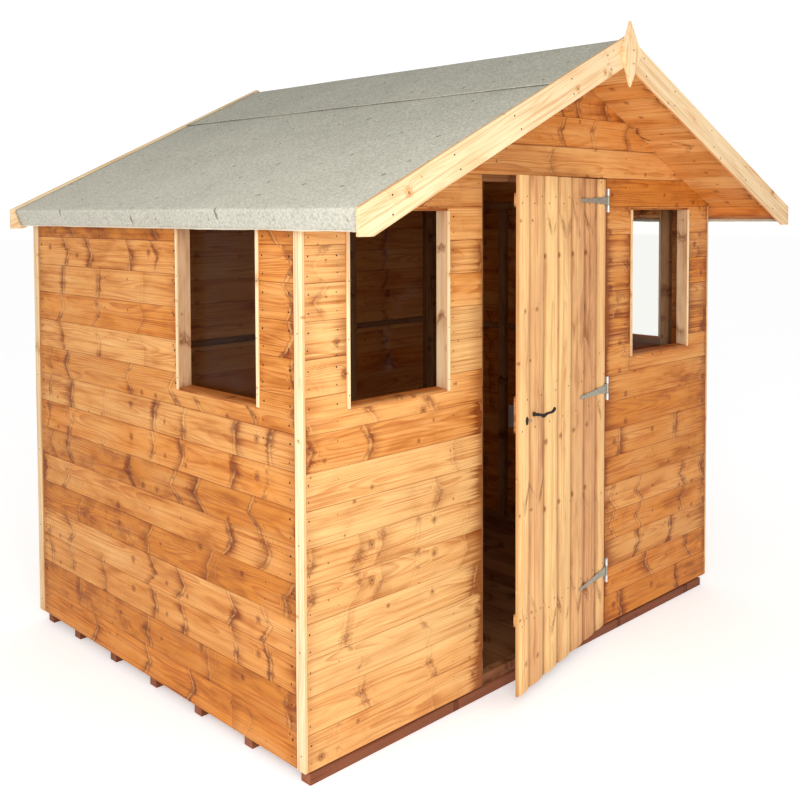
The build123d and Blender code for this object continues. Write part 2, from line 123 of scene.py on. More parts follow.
class ShedColours(bpy.types.PropertyGroup):
    """Colours of the finishes"""

    dip_pale: colour("Dipped wood", "Cladding that took little of the treatment", (0.86, 0.505, 0.195))
    dip_deep: colour("Dipped wood, deep", "Cladding that took all of the treatment", (0.71, 0.25, 0.034))
    pine_pale: colour("Pale pine", "Untreated trims", (0.93, 0.74, 0.46))
    pine_deep: colour("Pale pine, deep", "Yellowed untreated trims", (0.82, 0.51, 0.24))
    # Partly painted shade: the linings' darker tone is partly the wood's own and partly the shade in the
    # window reveals.
    lining_pale: colour("Lining", "Window linings", (0.76, 0.53, 0.31))
    lining_deep: colour("Lining, deep", "Darker window linings", (0.54, 0.30, 0.155))
    door_pale: colour("Door wood", "Pale door boards", (0.99, 0.66, 0.285))
    door_deep: colour("Door wood, deep", "Brown door boards", (0.77, 0.40, 0.17))
    # Painted shade: the frame wood is coloured far darker than pine to stand in for the shade inside the
    # shed.
    frame_pale: colour("Frame wood", "Inner frame", (0.42, 0.21, 0.085))
    frame_deep: colour("Frame wood, deep", "Darker inner frame", (0.27, 0.11, 0.04))
    bearer_pale: colour("Bearer wood", "Treated bearers", (0.42, 0.165, 0.08))
    bearer_deep: colour("Bearer wood, deep", "Darker treated bearers", (0.25, 0.085, 0.042))
    late_wood: colour("Late wood", "What the growth rings let through", (0.68, 0.46, 0.31))
    fibre: colour("Fibre", "What dark fibres let through", (0.76, 0.56, 0.40))
    # Also darkens the band along the boards' edges, which is partly painted shade in the joints.
    pool: colour("Pooled treatment", "What pooled treatment lets through", (0.40, 0.24, 0.15))
    resin: colour("Resin", "What resin round the knots of untreated pine lets through", (0.74, 0.46, 0.22))
    # Painted shade: darkens the cladding's faces inside the room, standing in for the shade there.
    painted_room_shade: colour("Sawn back", "What the boards' rough inner faces let through", (0.72, 0.53, 0.37))
    bruise: colour("Bruise", "What handling marks let through", (0.58, 0.47, 0.47))
    knot: colour("Knot", "Heart of a knot", (0.20, 0.065, 0.022))
    pine_knot: colour("Pine knot", "Heart of a knot in untreated pine", (0.30, 0.115, 0.035))
    felt_pale: colour("Felt chips", "Pale mineral chips of the felt", (0.72, 0.69, 0.57))
    felt_dark: colour("Felt gaps", "Darker chips and bitumen of the felt", (0.36, 0.35, 0.28))
    felt_fleck: colour("Felt fleck", "What bare flecks of the felt let through", (0.36, 0.32, 0.26))
    felt_hem: colour("Felt hem", "What the turned-down felt lets through", (0.80, 0.81, 0.84))
    # Painted highlight: a pale line along the felt's lower edge.
    felt_lip_highlight: colour("Felt cut", "Cut edge of the felt", (0.95, 0.86, 0.66))
    zinc: colour("Zinc", "Plated hinge straps and clout nails", (0.47, 0.455, 0.38))
    zinc_worn: colour("Zinc, dull", "Duller grains of the plated straps", (0.33, 0.315, 0.255))
    bright: colour("Bright zinc", "Plates of the hinges", (0.86, 0.87, 0.88))
    bright_worn: colour("Bright zinc, dull", "Duller grains of the plates", (0.66, 0.67, 0.68))
    japan: colour("Black japan", "Lock, lever and keyhole cover", (0.022, 0.020, 0.018))
    japan_worn: colour("Black japan, worn", "Worn places of the black paint", (0.035, 0.03, 0.027))
    rust: colour("Rust", "Nail heads", (0.085, 0.036, 0.015))
    rust_worn: colour("Rust, dark", "Darker nail heads", (0.035, 0.014, 0.006))


class ShedStage(bpy.types.PropertyGroup):
    """Camera and light"""

    eye: spot("Camera place", "Where the camera stands", (-3.1252, -3.2279, 1.7645))
    yaw: angle("Yaw", "Turn of the view from +Y towards +X", 43.798)
    pitch: angle("Pitch", "Fall of the view below the horizon", 2.450)
    roll: angle("Roll", "Roll of the view", -0.238)
    lens: amount("Lens", "Focal length on a 36 mm sensor", 45.33)
    shift_x: amount("Shift X", "Sideways lens shift", 0.0241)
    shift_y: amount("Shift Y", "Upward lens shift", -0.1829)
    sky: amount("Sky light", "Strength of the even light all round", 0.65)
    backdrop: amount("Backdrop", "Brightness of the backdrop in view", 1.1)
    glow: amount("Floor glow", "Light that the lit floor gives off", 0.36)
    floor_reach: length("Floor reach", "From the middle of the floor to its edges", 60.0)
    key: spot("Softbox place", "Where the large softbox hangs", (-3.3, -3.5, 2.1))
    key_aim: spot("Softbox aim", "Where the softbox points", (-0.8, -0.8, 1.0))
    key_size: length("Softbox size", "Side of the square softbox", 2.0)
    key_power: bpy.props.FloatProperty(
        name="Softbox power", description="Power of the softbox", default=110.0, unit="POWER"
    )


def sizes():
    return bpy.context.scene.shed_sizes


def colours():
    return bpy.context.scene.shed_colours


# ---------------------------------------------------------------- shader writing


class Value:
    """A number that a material works out, with the usual arithmetic."""

    def __init__(self, shader, socket):
        self.shader = shader
        self.socket = socket

    def maths(self, operation, *others):
        return self.shader.node("ShaderNodeMath", {"operation": operation}, dict(enumerate((self, *others))))

    def __add__(self, other):
        return self.maths("ADD", other)

    __radd__ = __add__

    def __sub__(self, other):
        return self.maths("SUBTRACT", other)

    def __rsub__(self, other):
        return self.shader.node("ShaderNodeMath", {"operation": "SUBTRACT"}, {0: other, 1: self})

    def __mul__(self, other):
        return self.maths("MULTIPLY", other)

    __rmul__ = __mul__

    def __truediv__(self, other):
        return self.maths("DIVIDE", other)

    def __pow__(self, other):
        return self.maths("POWER", other)


class Shader:
    """Builds the nodes of one material, or of the world."""

    def __init__(self, holder):
        self.holder = holder
        holder.use_nodes = True
        self.tree = holder.node_tree
        self.tree.nodes.clear()

    def node(self, kind, settings=None, inputs=None, output=0):
        """One node: its settings first, then the values or links of its sockets."""
        made = self.tree.nodes.new(kind)
        for key, value in (settings or {}).items():
            setattr(made, key, value)
        for key, value in (inputs or {}).items():
            socket = made.inputs[key]
            if isinstance(value, Value):
                self.tree.links.new(value.socket, socket)
            elif socket.type == "RGBA":
                socket.default_value = (*value[:3], 1.0)
            else:
                socket.default_value = value
        return Value(self, made.outputs[output]) if made.outputs else None

    def beside(self, value, output):
        """Another output of the node that a value comes from."""
        return Value(self, value.socket.node.outputs[output])

    def split(self, vector):
        """The three numbers of a vector or colour."""
        x = self.node("ShaderNodeSeparateXYZ", None, {0: vector})
        return [self.beside(x, part) for part in range(3)]

    def join(self, x, y, z):
        return self.node("ShaderNodeCombineXYZ", None, {0: x, 1: y, 2: z})

    def attribute(self, name):
        """The three numbers of a vector that the piece carries."""
        return self.split(self.node("ShaderNodeAttribute", {"attribute_name": name}, output="Vector"))

    def place(self):
        """Where a point lies in the shed's own frame."""
        return self.node("ShaderNodeTexCoord", output="Object")

    def draws(self, value):
        """Three draws of chance that hang on a number."""
        drawn = self.node("ShaderNodeTexWhiteNoise", {"noise_dimensions": "1D"}, {"W": value}, "Color")
        return self.split(drawn)

    def noise(self, vector, scale=1.0, detail=2.0, roughness=0.5):
        values = {"Vector": vector, "Scale": scale, "Detail": detail, "Roughness": roughness}
        return self.node("ShaderNodeTexNoise", {"noise_dimensions": "3D"}, values, "Fac")

    def cells(self, vector, scale, dimensions="2D"):
        """Distance to the nearest of scattered points, unscaled, and three draws of chance for that point."""
        values = {"Vector": vector, "Scale": scale}
        gap = self.node("ShaderNodeTexVoronoi", {"voronoi_dimensions": dimensions}, values, "Distance")
        return gap / scale, self.split(self.beside(gap, "Color"))

    def smooth(self, value, low, high):
        """0 at low, 1 at high, an easy curve between them and level beyond; low may be the larger."""
        values = {"Value": value, "From Min": low, "From Max": high, "To Min": 0.0, "To Max": 1.0}
        return self.node("ShaderNodeMapRange", {"interpolation_type": "SMOOTHSTEP"}, values)

    def mix(self, share, first, second, blend="MIX"):
        """Colours mixed by a number: sockets 0, 6 and 7 of the node, whose colour comes out at 2."""
        settings = {"data_type": "RGBA", "blend_type": blend}
        return self.node("ShaderNodeMix", settings, {0: share, 6: first, 7: second}, 2)

    def bump(self, height, distance):
        return self.node("ShaderNodeBump", None, {"Height": height, "Distance": distance, "Strength": 1.0})

    def output(self, surface, kind="ShaderNodeOutputMaterial"):
        self.node(kind, None, {"Surface": surface})
        return self.holder

    def principled(self, inputs):
        return self.output(self.node("ShaderNodeBsdfPrincipled", None, inputs))


# ---------------------------------------------------------------- wood


class Wood(Shader):
    """Wood with growth rings cut by the board's faces, branch whorls, pooled treatment and fine fibres.

    contrast is how much the rings show, whorls the share of branch whorls that show, whorl_ink how dark their
    rims are and kink how steeply a whorl climbs towards a board's edges. band is the width of the dark band
    along the edges, partly pooled treatment and partly painted shade in the joints, sawn how rough the saw
    left the wood and gloss its roughness. pool and heart name the colours of its stains and knots; inner
    paints shade on the faces in the room.
    """

    RING = 0.0045  # spacing of the growth rings
    PITH_DEPTH, PITH_DEEPER = 0.03, 0.09  # least depth of the pith behind the face, and how much more
    LINE_WIDTH = 0.0085  # of a whorl's pale line, from its middle
    RIM_GAP, RIM_WIDTH = 0.010, 0.0065  # of a whorl's dark rims, from its middle and from theirs
    SMUDGE, SMUDGE_MORE = 0.02, 0.08  # least length of a whorl's smudge, and how much more
    KNOT, KNOT_MORE = 0.003, 0.008  # least radius of a knot on a whorl, and how much more
    PIN_KNOT, PIN_KNOT_MORE = 0.0018, 0.0062  # the same for the small knots anywhere
    PIN_KNOTS = 6.5  # how many small knots a metre could hold
    SOAK, SOAK_MORE = 0.04, 0.12  # least reach of the treatment from a board's end, and how much more
    BATTEN_STAIN = 0.07  # width of the stain that a batten left
    GRAIN_HEIGHT = 0.0006  # of the bump
    ABSENT = 9.0  # distance of a knot that isn't there, in radii

    def __init__(
        self, name, tints, contrast=0.5, whorls=0.6, whorl_ink=0.3, kink=0.0, band=0.004, sawn=0.0,
        gloss=0.62, pool="pool", heart="knot", inner=False,
    ):
        super().__init__(bpy.data.materials.new(name))
        hues = colours()
        self.pale, self.deep = getattr(hues, f"{tints}_pale"), getattr(hues, f"{tints}_deep")
        self.pool_hue, self.heart_hue = getattr(hues, pool), getattr(hues, heart)
        self.contrast, self.whorl_share, self.whorl_ink, self.kink = contrast, whorls, whorl_ink, kink
        self.band, self.sawn, self.gloss, self.inner = band, sawn, gloss, inner
        self.along, self.across, self.into = self.attribute("grain")
        self.reach, self.width, self.stained = self.attribute("span")
        shift, lift, self.chance = self.attribute("seed")
        self.low_end, self.high_end, self.mark = self.attribute("ends")
        self.board, self.batch = self.draws(self.chance), self.draws(shift)
        self.x, self.y, self.z = self.along + shift, self.across + lift, self.into + self.chance
        self.side = self.across - self.width * 0.5
        self.fine = self.drawn_out(5.0, 330.0, 330.0, 3.0, 0.6)
        self.streak = self.drawn_out(2.0, 100.0, 100.0, 2.0, 0.6)
        self.cloud = self.drawn_out(3.0, 13.0, 6.0, 3.0, 0.6)
        self.feather = 0.15 + self.streak * 1.7
        self.whorls()
        self.knots()
        self.rings()
        self.treatment()
        finish = {
            "Base Color": self.toned(),
            "Roughness": self.gloss + (self.fine - 0.5) * 0.18 - self.late * 0.08 - self.knot * 0.12,
            "Specular IOR Level": 0.22,
            "Normal": self.bump(self.relief(), self.GRAIN_HEIGHT),
        }
        self.principled(finish)

    def drawn_out(self, along, across, into, detail, roughness=0.5):
        """Noise that is drawn out along the board, with how often it changes each way."""
        return self.noise(self.join(self.x * along, self.y * across, self.z * into), 1.0, detail, roughness)

    def whorls(self):
        """Branch whorls: a pale line with dark rims across the board and a smudge on one side of it."""
        sway = self.noise(self.join(self.x * 2.0, self.y * 24.0, 0.0)) - 0.5
        often = 2.6 + self.batch[1] * self.batch[1] * 4.5
        spread = self.side.maths("ABSOLUTE")
        climb = self.kink + (self.board[1] - 0.5) * 1.8
        bent = self.x + self.side * (self.board[0] - 0.5) * 0.8 - spread * climb + sway * 0.04
        values = {"W": bent * often, "Scale": 1.0, "Randomness": 1.0}
        nearest = self.node("ShaderNodeTexVoronoi", {"voronoi_dimensions": "1D"}, values, "W")
        chosen, way, far = self.split(self.beside(nearest, "Color"))
        middle = nearest / often
        self.shown = self.smooth(chosen, 1 - self.whorl_share, 1.1 - self.whorl_share)
        self.past = bent - middle
        self.local = self.draws(middle * 3.1 + self.chance)
        one_sided = self.past if self.kink else self.past * (self.smooth(way, 0.34, 0.36) * 2.0 - 1.0)
        smudge = self.smooth(one_sided, (self.SMUDGE + far * self.SMUDGE_MORE) * self.feather, 0.0)
        smudge = smudge * self.smooth(one_sided, -0.006, 0.006)
        smudge = smudge * self.smooth(self.cloud + self.local[0] * 0.3, 0.42, 0.70) * self.shown
        self.smudge = smudge * self.smooth(spread, 0.0, self.width * 0.5) if self.kink else smudge
        away = self.past.maths("ABSOLUTE") + (self.fine - 0.5) * 0.003
        broken = self.smooth(sway + self.local[1] * 0.4, -0.02, 0.12) * self.shown
        self.line = self.smooth(away, self.LINE_WIDTH, 0.0005) * broken
        self.rim = self.smooth((away - self.RIM_GAP).maths("ABSOLUTE"), self.RIM_WIDTH, 0.0005) * broken

    def knots(self):
        """Two knots on each whorl and small ones anywhere, with a halo and a stain round them."""
        rough = (self.noise(self.join(self.x, self.y, self.z), 110.0) - 0.5) * 0.004
        gaps = []
        for height, size in ((self.local[0], self.local[1]), (self.local[2], self.local[0])):
            off = self.side - (height - 0.5) * self.width * 0.9
            distance = (self.past * self.past + off * off).maths("SQRT") + rough
            gaps.append(distance / (self.KNOT + size * self.KNOT_MORE))
        gap = (1.0 - self.shown) * self.ABSENT + gaps[0].maths("MINIMUM", gaps[1])
        pin, (present, size, _) = self.cells(self.join(self.x, self.y, 0.0), self.PIN_KNOTS)
        pin = pin / (self.PIN_KNOT + size * size * self.PIN_KNOT_MORE)
        gap = gap.maths("MINIMUM", pin + self.smooth(present, 0.15, 0.1) * self.ABSENT)
        self.knot = self.smooth(gap, 1.0, 0.55)
        self.halo = self.smooth((gap - 1.5).maths("ABSOLUTE"), 0.55, 0.0)
        self.spike = self.smooth(gap - self.feather * 1.6, 2.0, 0.0)
        self.swell = self.smooth(gap, 5.0, 0.5)

    def rings(self):
        """Growth rings round a pith that wanders behind the board, and round the knots."""
        wander = self.drawn_out(1.3, 7.0, 7.0, 2.0) - 0.5
        aside = self.across - self.width * (0.15 + self.board[1] * 0.7)
        depth = self.into + self.PITH_DEPTH + self.board[2] * self.PITH_DEEPER
        radius = (aside * aside + depth * depth).maths("SQRT")
        radius = radius + self.x * (self.board[0] - 0.5) * 0.045 + wander * 0.05 + self.swell * 0.010
        phase = (radius / self.RING).maths("FRACT")
        late = self.smooth(phase, 0.30, 0.92) * self.smooth(phase, 1.0, 0.93)
        self.late = late * self.smooth(self.drawn_out(2.5, 26.0, 26.0, 3.0), 0.30, 0.70)

    def treatment(self):
        """Treatment that pooled at the ends, under battens and in patches, bruises, and a dark band along the
        edges that is partly pooled treatment and partly painted shade in the joints.
        """
        # Dark band along both edges: pooled treatment, and painted shade in the joints where the band is
        # wide, as on the door.
        edge = self.across.maths("MINIMUM", self.width - self.across)
        pooled = self.smooth(edge, self.band * (0.3 + self.cloud * 1.4), 0.0) * 0.55
        soak = (self.SOAK + self.board[0] * self.SOAK_MORE) * self.feather * self.feather
        for reached, share in ((self.along, self.low_end), (self.reach - self.along, self.high_end)):
            wet = self.smooth(reached, soak, 0.0)
            pooled = pooled + wet * wet * share
        short = self.mark - self.along
        laid = self.smooth(short, self.feather * self.BATTEN_STAIN, 0.0) * self.smooth(short, -0.003, 0.003)
        pooled = pooled + laid * self.smooth(self.board[2], 0.55, 1.0) * 0.6
        pooled = pooled + self.smooth(self.cloud, 0.52, 0.75) * (0.25 + self.stained) * 0.55
        pooled = pooled + self.smudge * (0.2 + self.stained * 0.9)
        self.pooled = pooled + self.halo * 0.3 + self.spike * 0.4
        rubbed = self.noise(self.join(self.x * 9.0, self.y * 15.0, 4.0), 1.0, 3.0, 0.6)
        rubbed = self.smooth(rubbed, 0.46, 0.66) * self.smooth(self.stained, 0.72, 1.0)
        self.bruise = rubbed * self.smooth(self.along, 0.2, 1.1)

    def toned(self):
        """The wood's colour: its tint, darkened by what lies on it."""
        hues = colours()
        depth = self.stained + (self.cloud - 0.5) * 1.3 + (self.board[2] - 0.5) * 0.5
        base = self.mix(depth, self.pale, self.deep)
        for share, lets_through in (
            (self.late * self.contrast, hues.late_wood),
            (self.smooth(self.streak, 0.45, 0.75) * 0.8, hues.fibre),
            (self.pooled, self.pool_hue),
            (self.bruise * 0.75, hues.bruise),
            (self.rim * (0.2 + self.stained) * self.whorl_ink, self.pool_hue),
        ):
            base = self.mix(share, base, lets_through, "MULTIPLY")
        base = self.mix(self.line * 0.35, base, self.pale)
        base = self.mix(self.knot * 0.85, base, self.heart_hue)
        # Painted shade: faces inside the room are darkened, standing in for the shade there.
        if self.inner:
            base = self.mix(self.in_room(), base, hues.painted_room_shade, "MULTIPLY")
        tint = 0.97 + (self.board[1] - 0.5) * 0.10 + (self.fine - 0.5) * 0.34
        tint = tint - self.smooth(self.stained, 0.5, 1.1) * 0.09
        return self.node("ShaderNodeVectorMath", {"operation": "SCALE"}, {0: base, "Scale": tint})

    def in_room(self):
        """1 within the inner faces of the walls, 0 outside them: where shade is painted on the boards."""
        inside = 1.0
        for part, wall in zip(self.split(self.place()), measured().room):
            inside = self.smooth(part.maths("ABSOLUTE"), wall + 0.003, wall + 0.001) * inside
        return inside

    def relief(self):
        """Height of the grain, and of the saw's marks on sawn wood."""
        marks = self.fine * 0.55 + self.late * 0.4 + self.knot * 0.8
        if not self.sawn:
            return marks
        place = self.join(self.x, self.y, self.z)
        saw = (self.x * 900.0 + self.noise(place, 30.0) * 9.0).maths("SINE")
        return marks + saw * self.sawn + self.noise(place, 220.0) * self.sawn * 2.0


def dipped_cladding():
    """Dipped boards with bold rings and whorls, with shade painted on their faces inside the room."""
    return Wood(
        "dipped_cladding", "dip", contrast=0.85, whorls=0.62, whorl_ink=0.42, band=0.003, inner=True
    ).holder


def untreated_pine():
    """Planed pale trims, with resin round their few knots."""
    return Wood(
        "untreated_pine", "pine", contrast=0.35, whorls=0.25, band=0.0005, pool="resin", heart="pine_knot"
    ).holder


def lining_pine():
    """Linings of the windows, darker partly by their own tone and partly by painted shade of the reveals."""
    return Wood("lining_pine", "lining", contrast=0.35, band=0.001).holder


def door_pine():
    """Door boards, whose whorls climb steeply and whose edges carry a wide band of painted shade in the
    joints.
    """
    return Wood("door_boards_pine", "door", whorls=0.5, whorl_ink=0.15, kink=1.5, band=0.018).holder


def frame_timber():
    """Sawn studs, rails, rafters and deck boards, coloured dark as painted shade of the room."""
    return Wood("frame_timber", "frame", sawn=0.15).holder


def treated_bearers():
    """Rough bearers, soaked red-brown."""
    return Wood("treated_bearers", "bearer", contrast=0.4, whorls=0.3, sawn=0.5, gloss=0.75).holder


# ---------------------------------------------------------------- felt, metal, glass and floor


def felt_finish():
    """Green mineral felt: stone chips in bitumen, rolled flecks, slow patches, a darker hem, painted light
    that pales it towards the eaves and a painted highlight along its lower edge.
    """
    hues = colours()
    shader = Shader(bpy.data.materials.new("mineral_felt"))
    place = shader.place()
    chips = shader.noise(place, 420.0, 2.0, 0.7)
    coarse = shader.noise(place, 110.0, 3.0, 0.75)
    patches = shader.noise(place, 3.2, 3.0, 0.6)
    worn = shader.noise(place, 19.0, 3.0, 0.6)
    x, y, z = shader.split(place)
    rows = shader.join(x + y * 0.6, y * 1.25 - x * 0.35, 0.0)
    gap, (present, size, _) = shader.cells(rows, 5.2)
    gap = gap + (coarse - 0.5) * 0.012
    fleck = shader.smooth(gap, 0.009 + size * 0.004, 0.004) * shader.smooth(present, 0.30, 0.35)
    # Painted light: the felt is drawn paler towards the eaves, standing in for how the light falls off up the
    # roof.
    painted_eaves_light = shader.smooth(x.maths("ABSOLUTE"), 0.1, 1.3)
    mixed = 0.25 + painted_eaves_light * 0.44
    for layer, weight in ((chips, 0.9), (coarse, 2.5), (patches, 0.35), (worn, 0.35)):
        mixed = mixed + (layer - 0.5) * weight
    base = shader.mix(mixed, hues.felt_dark, hues.felt_pale)
    base = shader.mix(fleck * 0.8, base, hues.felt_fleck, "MULTIPLY")
    cut_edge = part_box("left_roof_felt")[0].z
    hem = shader.smooth(z, cut_edge + 0.068, cut_edge + 0.052)
    base = shader.mix(hem * 0.8, base, hues.felt_hem, "MULTIPLY")
    # Painted highlight along the felt's lower edge.
    painted_lip_highlight = shader.smooth(z, cut_edge + 0.004, cut_edge + 0.002)
    base = shader.mix(painted_lip_highlight * 0.6, base, hues.felt_lip_highlight)
    finish = {
        "Base Color": base,
        "Roughness": 0.86 + chips * 0.12,
        "Specular IOR Level": 0.25,
        "Normal": shader.bump(chips * 0.7 + coarse * 0.7 - fleck * 0.8, 0.0012),
    }
    return shader.principled(finish)


def metal_finish(name, tint, rough, metallic, grains):
    """Plated or painted metal with faint wear; grains is how many grains of its surface a metre holds."""
    hues = colours()
    shader = Shader(bpy.data.materials.new(name))
    place = shader.place()
    grain = shader.cells(place, grains, "3D")[1][0]
    dull = shader.noise(place, 60.0, 4.0, 0.6)
    speck = shader.noise(place, 700.0, 2.0, 0.6)
    wear = shader.smooth(dull + grain * 0.25, 0.35, 0.95)
    finish = {
        "Base Color": shader.mix(wear, getattr(hues, tint), getattr(hues, f"{tint}_worn")),
        "Metallic": metallic,
        "Specular IOR Level": 0.15,
        "Roughness": rough + grain * 0.12 + dull * 0.12,
        "Normal": shader.bump(speck * 0.4 + dull * 0.4, 0.0003),
    }
    return shader.principled(finish)


def zinc_plate():
    return metal_finish("zinc_plate", "zinc", 0.42, 0.85, 160.0)


def bright_zinc():
    return metal_finish("bright_zinc", "bright", 0.42, 0.6, 160.0)


def black_japan():
    return metal_finish("black_japan", "japan", 0.58, 0.0, 90.0)


def rusted_nails():
    return metal_finish("rusted_nails", "rust", 0.8, 0.0, 400.0)


def glass_finish():
    """Thin clear sheet that mirrors more at a slant, with a few dusty smears."""
    shader = Shader(bpy.data.materials.new("horticultural_glass"))
    dust = shader.smooth(shader.noise(shader.place(), 7.0, 4.0, 0.65), 0.55, 0.85)
    clear = shader.node("ShaderNodeBsdfTransparent", None, {"Color": (0.985, 0.985, 0.975)})
    mirror = shader.node("ShaderNodeBsdfGlossy", None, {"Color": (1.0, 1.0, 1.0), "Roughness": 0.03})
    haze = shader.node("ShaderNodeBsdfDiffuse", None, {"Color": (0.7, 0.68, 0.64)})
    slant = shader.node("ShaderNodeLayerWeight", None, {"Blend": 0.5}, "Facing") ** 5
    sheet = shader.node("ShaderNodeMixShader", None, {0: slant * 0.4, 1: clear, 2: mirror})
    return shader.output(shader.node("ShaderNodeMixShader", None, {0: dust * 0.02, 1: sheet, 2: haze}))


def floor_finish():
    """Pale studio floor lit from within, faintly mottled."""
    shader = Shader(bpy.data.materials.new("studio_floor"))
    mottle = shader.noise(shader.place(), 1.5, 3.0)
    finish = {
        "Base Color": shader.mix(mottle, (0.95, 0.95, 0.95), (0.97, 0.97, 0.97)),
        "Roughness": 0.9,
        "Specular IOR Level": 0.1,
        "Emission Color": (1.0, 1.0, 1.0),
        "Emission Strength": bpy.context.scene.shed_stage.glow,
    }
    return shader.principled(finish)


FINISHES = {
    "dipped_boards": dipped_cladding,
    "pale_pine": untreated_pine,
    "lining_pine": lining_pine,
    "door_pine": door_pine,
    "frame_timber": frame_timber,
    "bearer_timber": treated_bearers,
    "roof_felt": felt_finish,
    "pane_glass": glass_finish,
    "zinc_steel": zinc_plate,
    "bright_zinc": bright_zinc,
    "black_steel": black_japan,
    "nail_steel": rusted_nails,
}


@cache
def finish_of(name):
    """Each finish is written once, when a piece first asks for it."""
    return FINISHES[name]()


# ---------------------------------------------------------------- mesh helpers


def everything(bm):
    return bm.verts[:] + bm.edges[:] + bm.faces[:]


def cut(bm, at, normal):
    """Cuts the mesh along a plane and keeps both sides."""
    bmesh.ops.bisect_plane(
        bm, geom=everything(bm), dist=1e-6, plane_co=at, plane_no=normal, clear_outer=False, clear_inner=False
    )


def move(bm, matrix):
    bmesh.ops.transform(bm, matrix=matrix, verts=bm.verts[:])


def outwards(bm):
    bmesh.ops.recalc_face_normals(bm, faces=bm.faces[:])


def new_verts(made):
    """The vertices among what an extrusion made."""
    return [item for item in made["geom"] if isinstance(item, bmesh.types.BMVert)]


def box_of(corners):
    """Lowest and highest corner of the box round some points."""
    corners = list(corners)
    return tuple(Vector(pick(corner[i] for corner in corners) for i in range(3)) for pick in (min, max))


def turned(x_axis, y_axis, z_axis):
    """The turn that points the axes these ways."""
    return Matrix((x_axis, y_axis, z_axis)).transposed().to_4x4()


def standing_on(at, normal, lift):
    """The place of a shape that stands on a face, its middle lifted off it."""
    turn = Vector(normal).to_track_quat("Z", "Y").to_matrix().to_4x4()
    return Matrix.Translation(Vector(at) + Vector(normal) * lift) @ turn


def islands(bm):
    """Groups of vertices that hang together, in the mesh's own order."""
    bm.verts.index_update()
    seen = set()
    groups = []
    for start in bm.verts:
        if start.index in seen:
            continue
        seen.add(start.index)
        group = [start]
        for vert in group:
            for edge in vert.link_edges:
                other = edge.other_vert(vert)
                if other.index not in seen:
                    seen.add(other.index)
                    group.append(other)
        groups.append(group)
    return groups


def ease(bm, edges, offset, segments=1):
    """Bevels these edges."""
    bmesh.ops.bevel(
        bm, geom=edges, offset=offset, offset_type="OFFSET", affect="EDGES", segments=segments, profile=0.5,
        material=-1, clamp_overlap=True,
    )


def sharp_edges(bm, sharp=SHARP_ANGLE):
    return [edge for edge in bm.edges if edge.is_manifold and edge.calc_face_angle(0) > sharp]


def clean_copy(node):
    """A mesh of one CAD node with its triangles merged into whole faces."""
    source = frame["nodes"][node].data
    bm = bmesh.new()
    verts = [bm.verts.new(vert.co) for vert in source.vertices]
    for polygon in source.polygons:
        bm.faces.new([verts[i] for i in polygon.vertices])
    bmesh.ops.remove_doubles(bm, verts=bm.verts[:], dist=TOUCH)
    bmesh.ops.dissolve_limit(bm, angle_limit=FLAT_ANGLE, verts=bm.verts[:], edges=bm.edges[:])
    return bm


def eased_copy(node, offset):
    """A mesh of one CAD node with its sharp edges eased."""
    bm = clean_copy(node)
    ease(bm, sharp_edges(bm), offset)
    return bm


def spans(node):
    """The box of each solid in a CAD node, as its lowest and highest corner."""
    bm = clean_copy(node)
    boxes = [box_of(vert.co for vert in group) for group in islands(bm)]
    bm.free()
    return boxes


def timber_axes(group, run):
    """Directions along, across and through a timber, the last square to its widest face."""
    faces = (face for vert in group for face in vert.link_faces)
    into = max(faces, key=lambda face: round(face.calc_area(), 7)).normal.copy()
    if run is None:
        edges = (edge for vert in group for edge in vert.link_edges)
        first, second = max(edges, key=lambda edge: round(edge.calc_length(), 6)).verts
        along = (second.co - first.co).normalized()
        if max(along, key=abs) < 0:
            along.negate()
    else:
        along = Vector(run)
    return along, into.cross(along).normalized(), into


def mark_grain(bm, chance, stained, run=None, paired=0.0, ends=(0.25, 0.25), mark=0.0):
    """Gives each separate timber its own coordinates, size and draws of chance.

    grain runs along, across and through the timber, span holds its length, its width and how stained it is,
    seed moves its knots and rings, and ends holds how stained its two ends are and where a batten lay.
    stained and ends may be functions of a timber's centre. run is the grain's direction, or None for each
    timber's longest edge, and paired is the chance that a timber was sawn beside the one before it.
    """
    layers = [bm.verts.layers.float_vector.new(name) for name in ("grain", "span", "seed", "ends")]

    def log():
        """A new log: where its knots and rings are, and how much its ends soak up."""
        return chance.uniform(0, 40), chance.uniform(0, 40), chance.uniform(0.2, 1.0)

    shift, lift, soaked = log()
    for group in islands(bm):
        axes = timber_axes(group, run)
        low = [min(vert.co.dot(axis) for vert in group) for axis in axes]
        high = [max(vert.co.dot(axis) for vert in group) for axis in axes]
        centre = sum((axis * (first + last) / 2 for axis, first, last in zip(axes, low, high)), Vector())
        if chance.random() >= paired:
            shift, lift, soaked = log()
        seed = (shift, lift + chance.uniform(-0.004, 0.004), chance.uniform(0, 90))
        depth = stained(centre) if callable(stained) else stained
        span = (high[0] - low[0], high[1] - low[1], chance.uniform(*depth))
        rims = ends(centre) if callable(ends) else ends
        rim = (rims[0] * soaked, rims[1] * soaked, mark)
        for vert in group:
            grain = [vert.co.dot(axis) - floor for axis, floor in zip(axes, low)]
            for layer, value in zip(layers, (grain, span, seed, rim)):
                vert[layer] = value


def finish_piece(name, bm, finish, body="shed", nodes=(), smooth=False):
    """Makes the mesh a piece that rides on a body and stands for these CAD nodes."""
    mesh = bpy.data.meshes.new(name)
    bm.to_mesh(mesh)
    bm.free()
    mesh.materials.append(finish_of(finish))
    if smooth:
        mesh.shade_smooth()
        mesh.set_sharp_from_angle(angle=SHARP_ANGLE)
    piece = bpy.data.objects.new(name, mesh)
    bpy.context.scene.collection.objects.link(piece)
    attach(piece, body)
    if nodes:
        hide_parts(*nodes)
    return piece


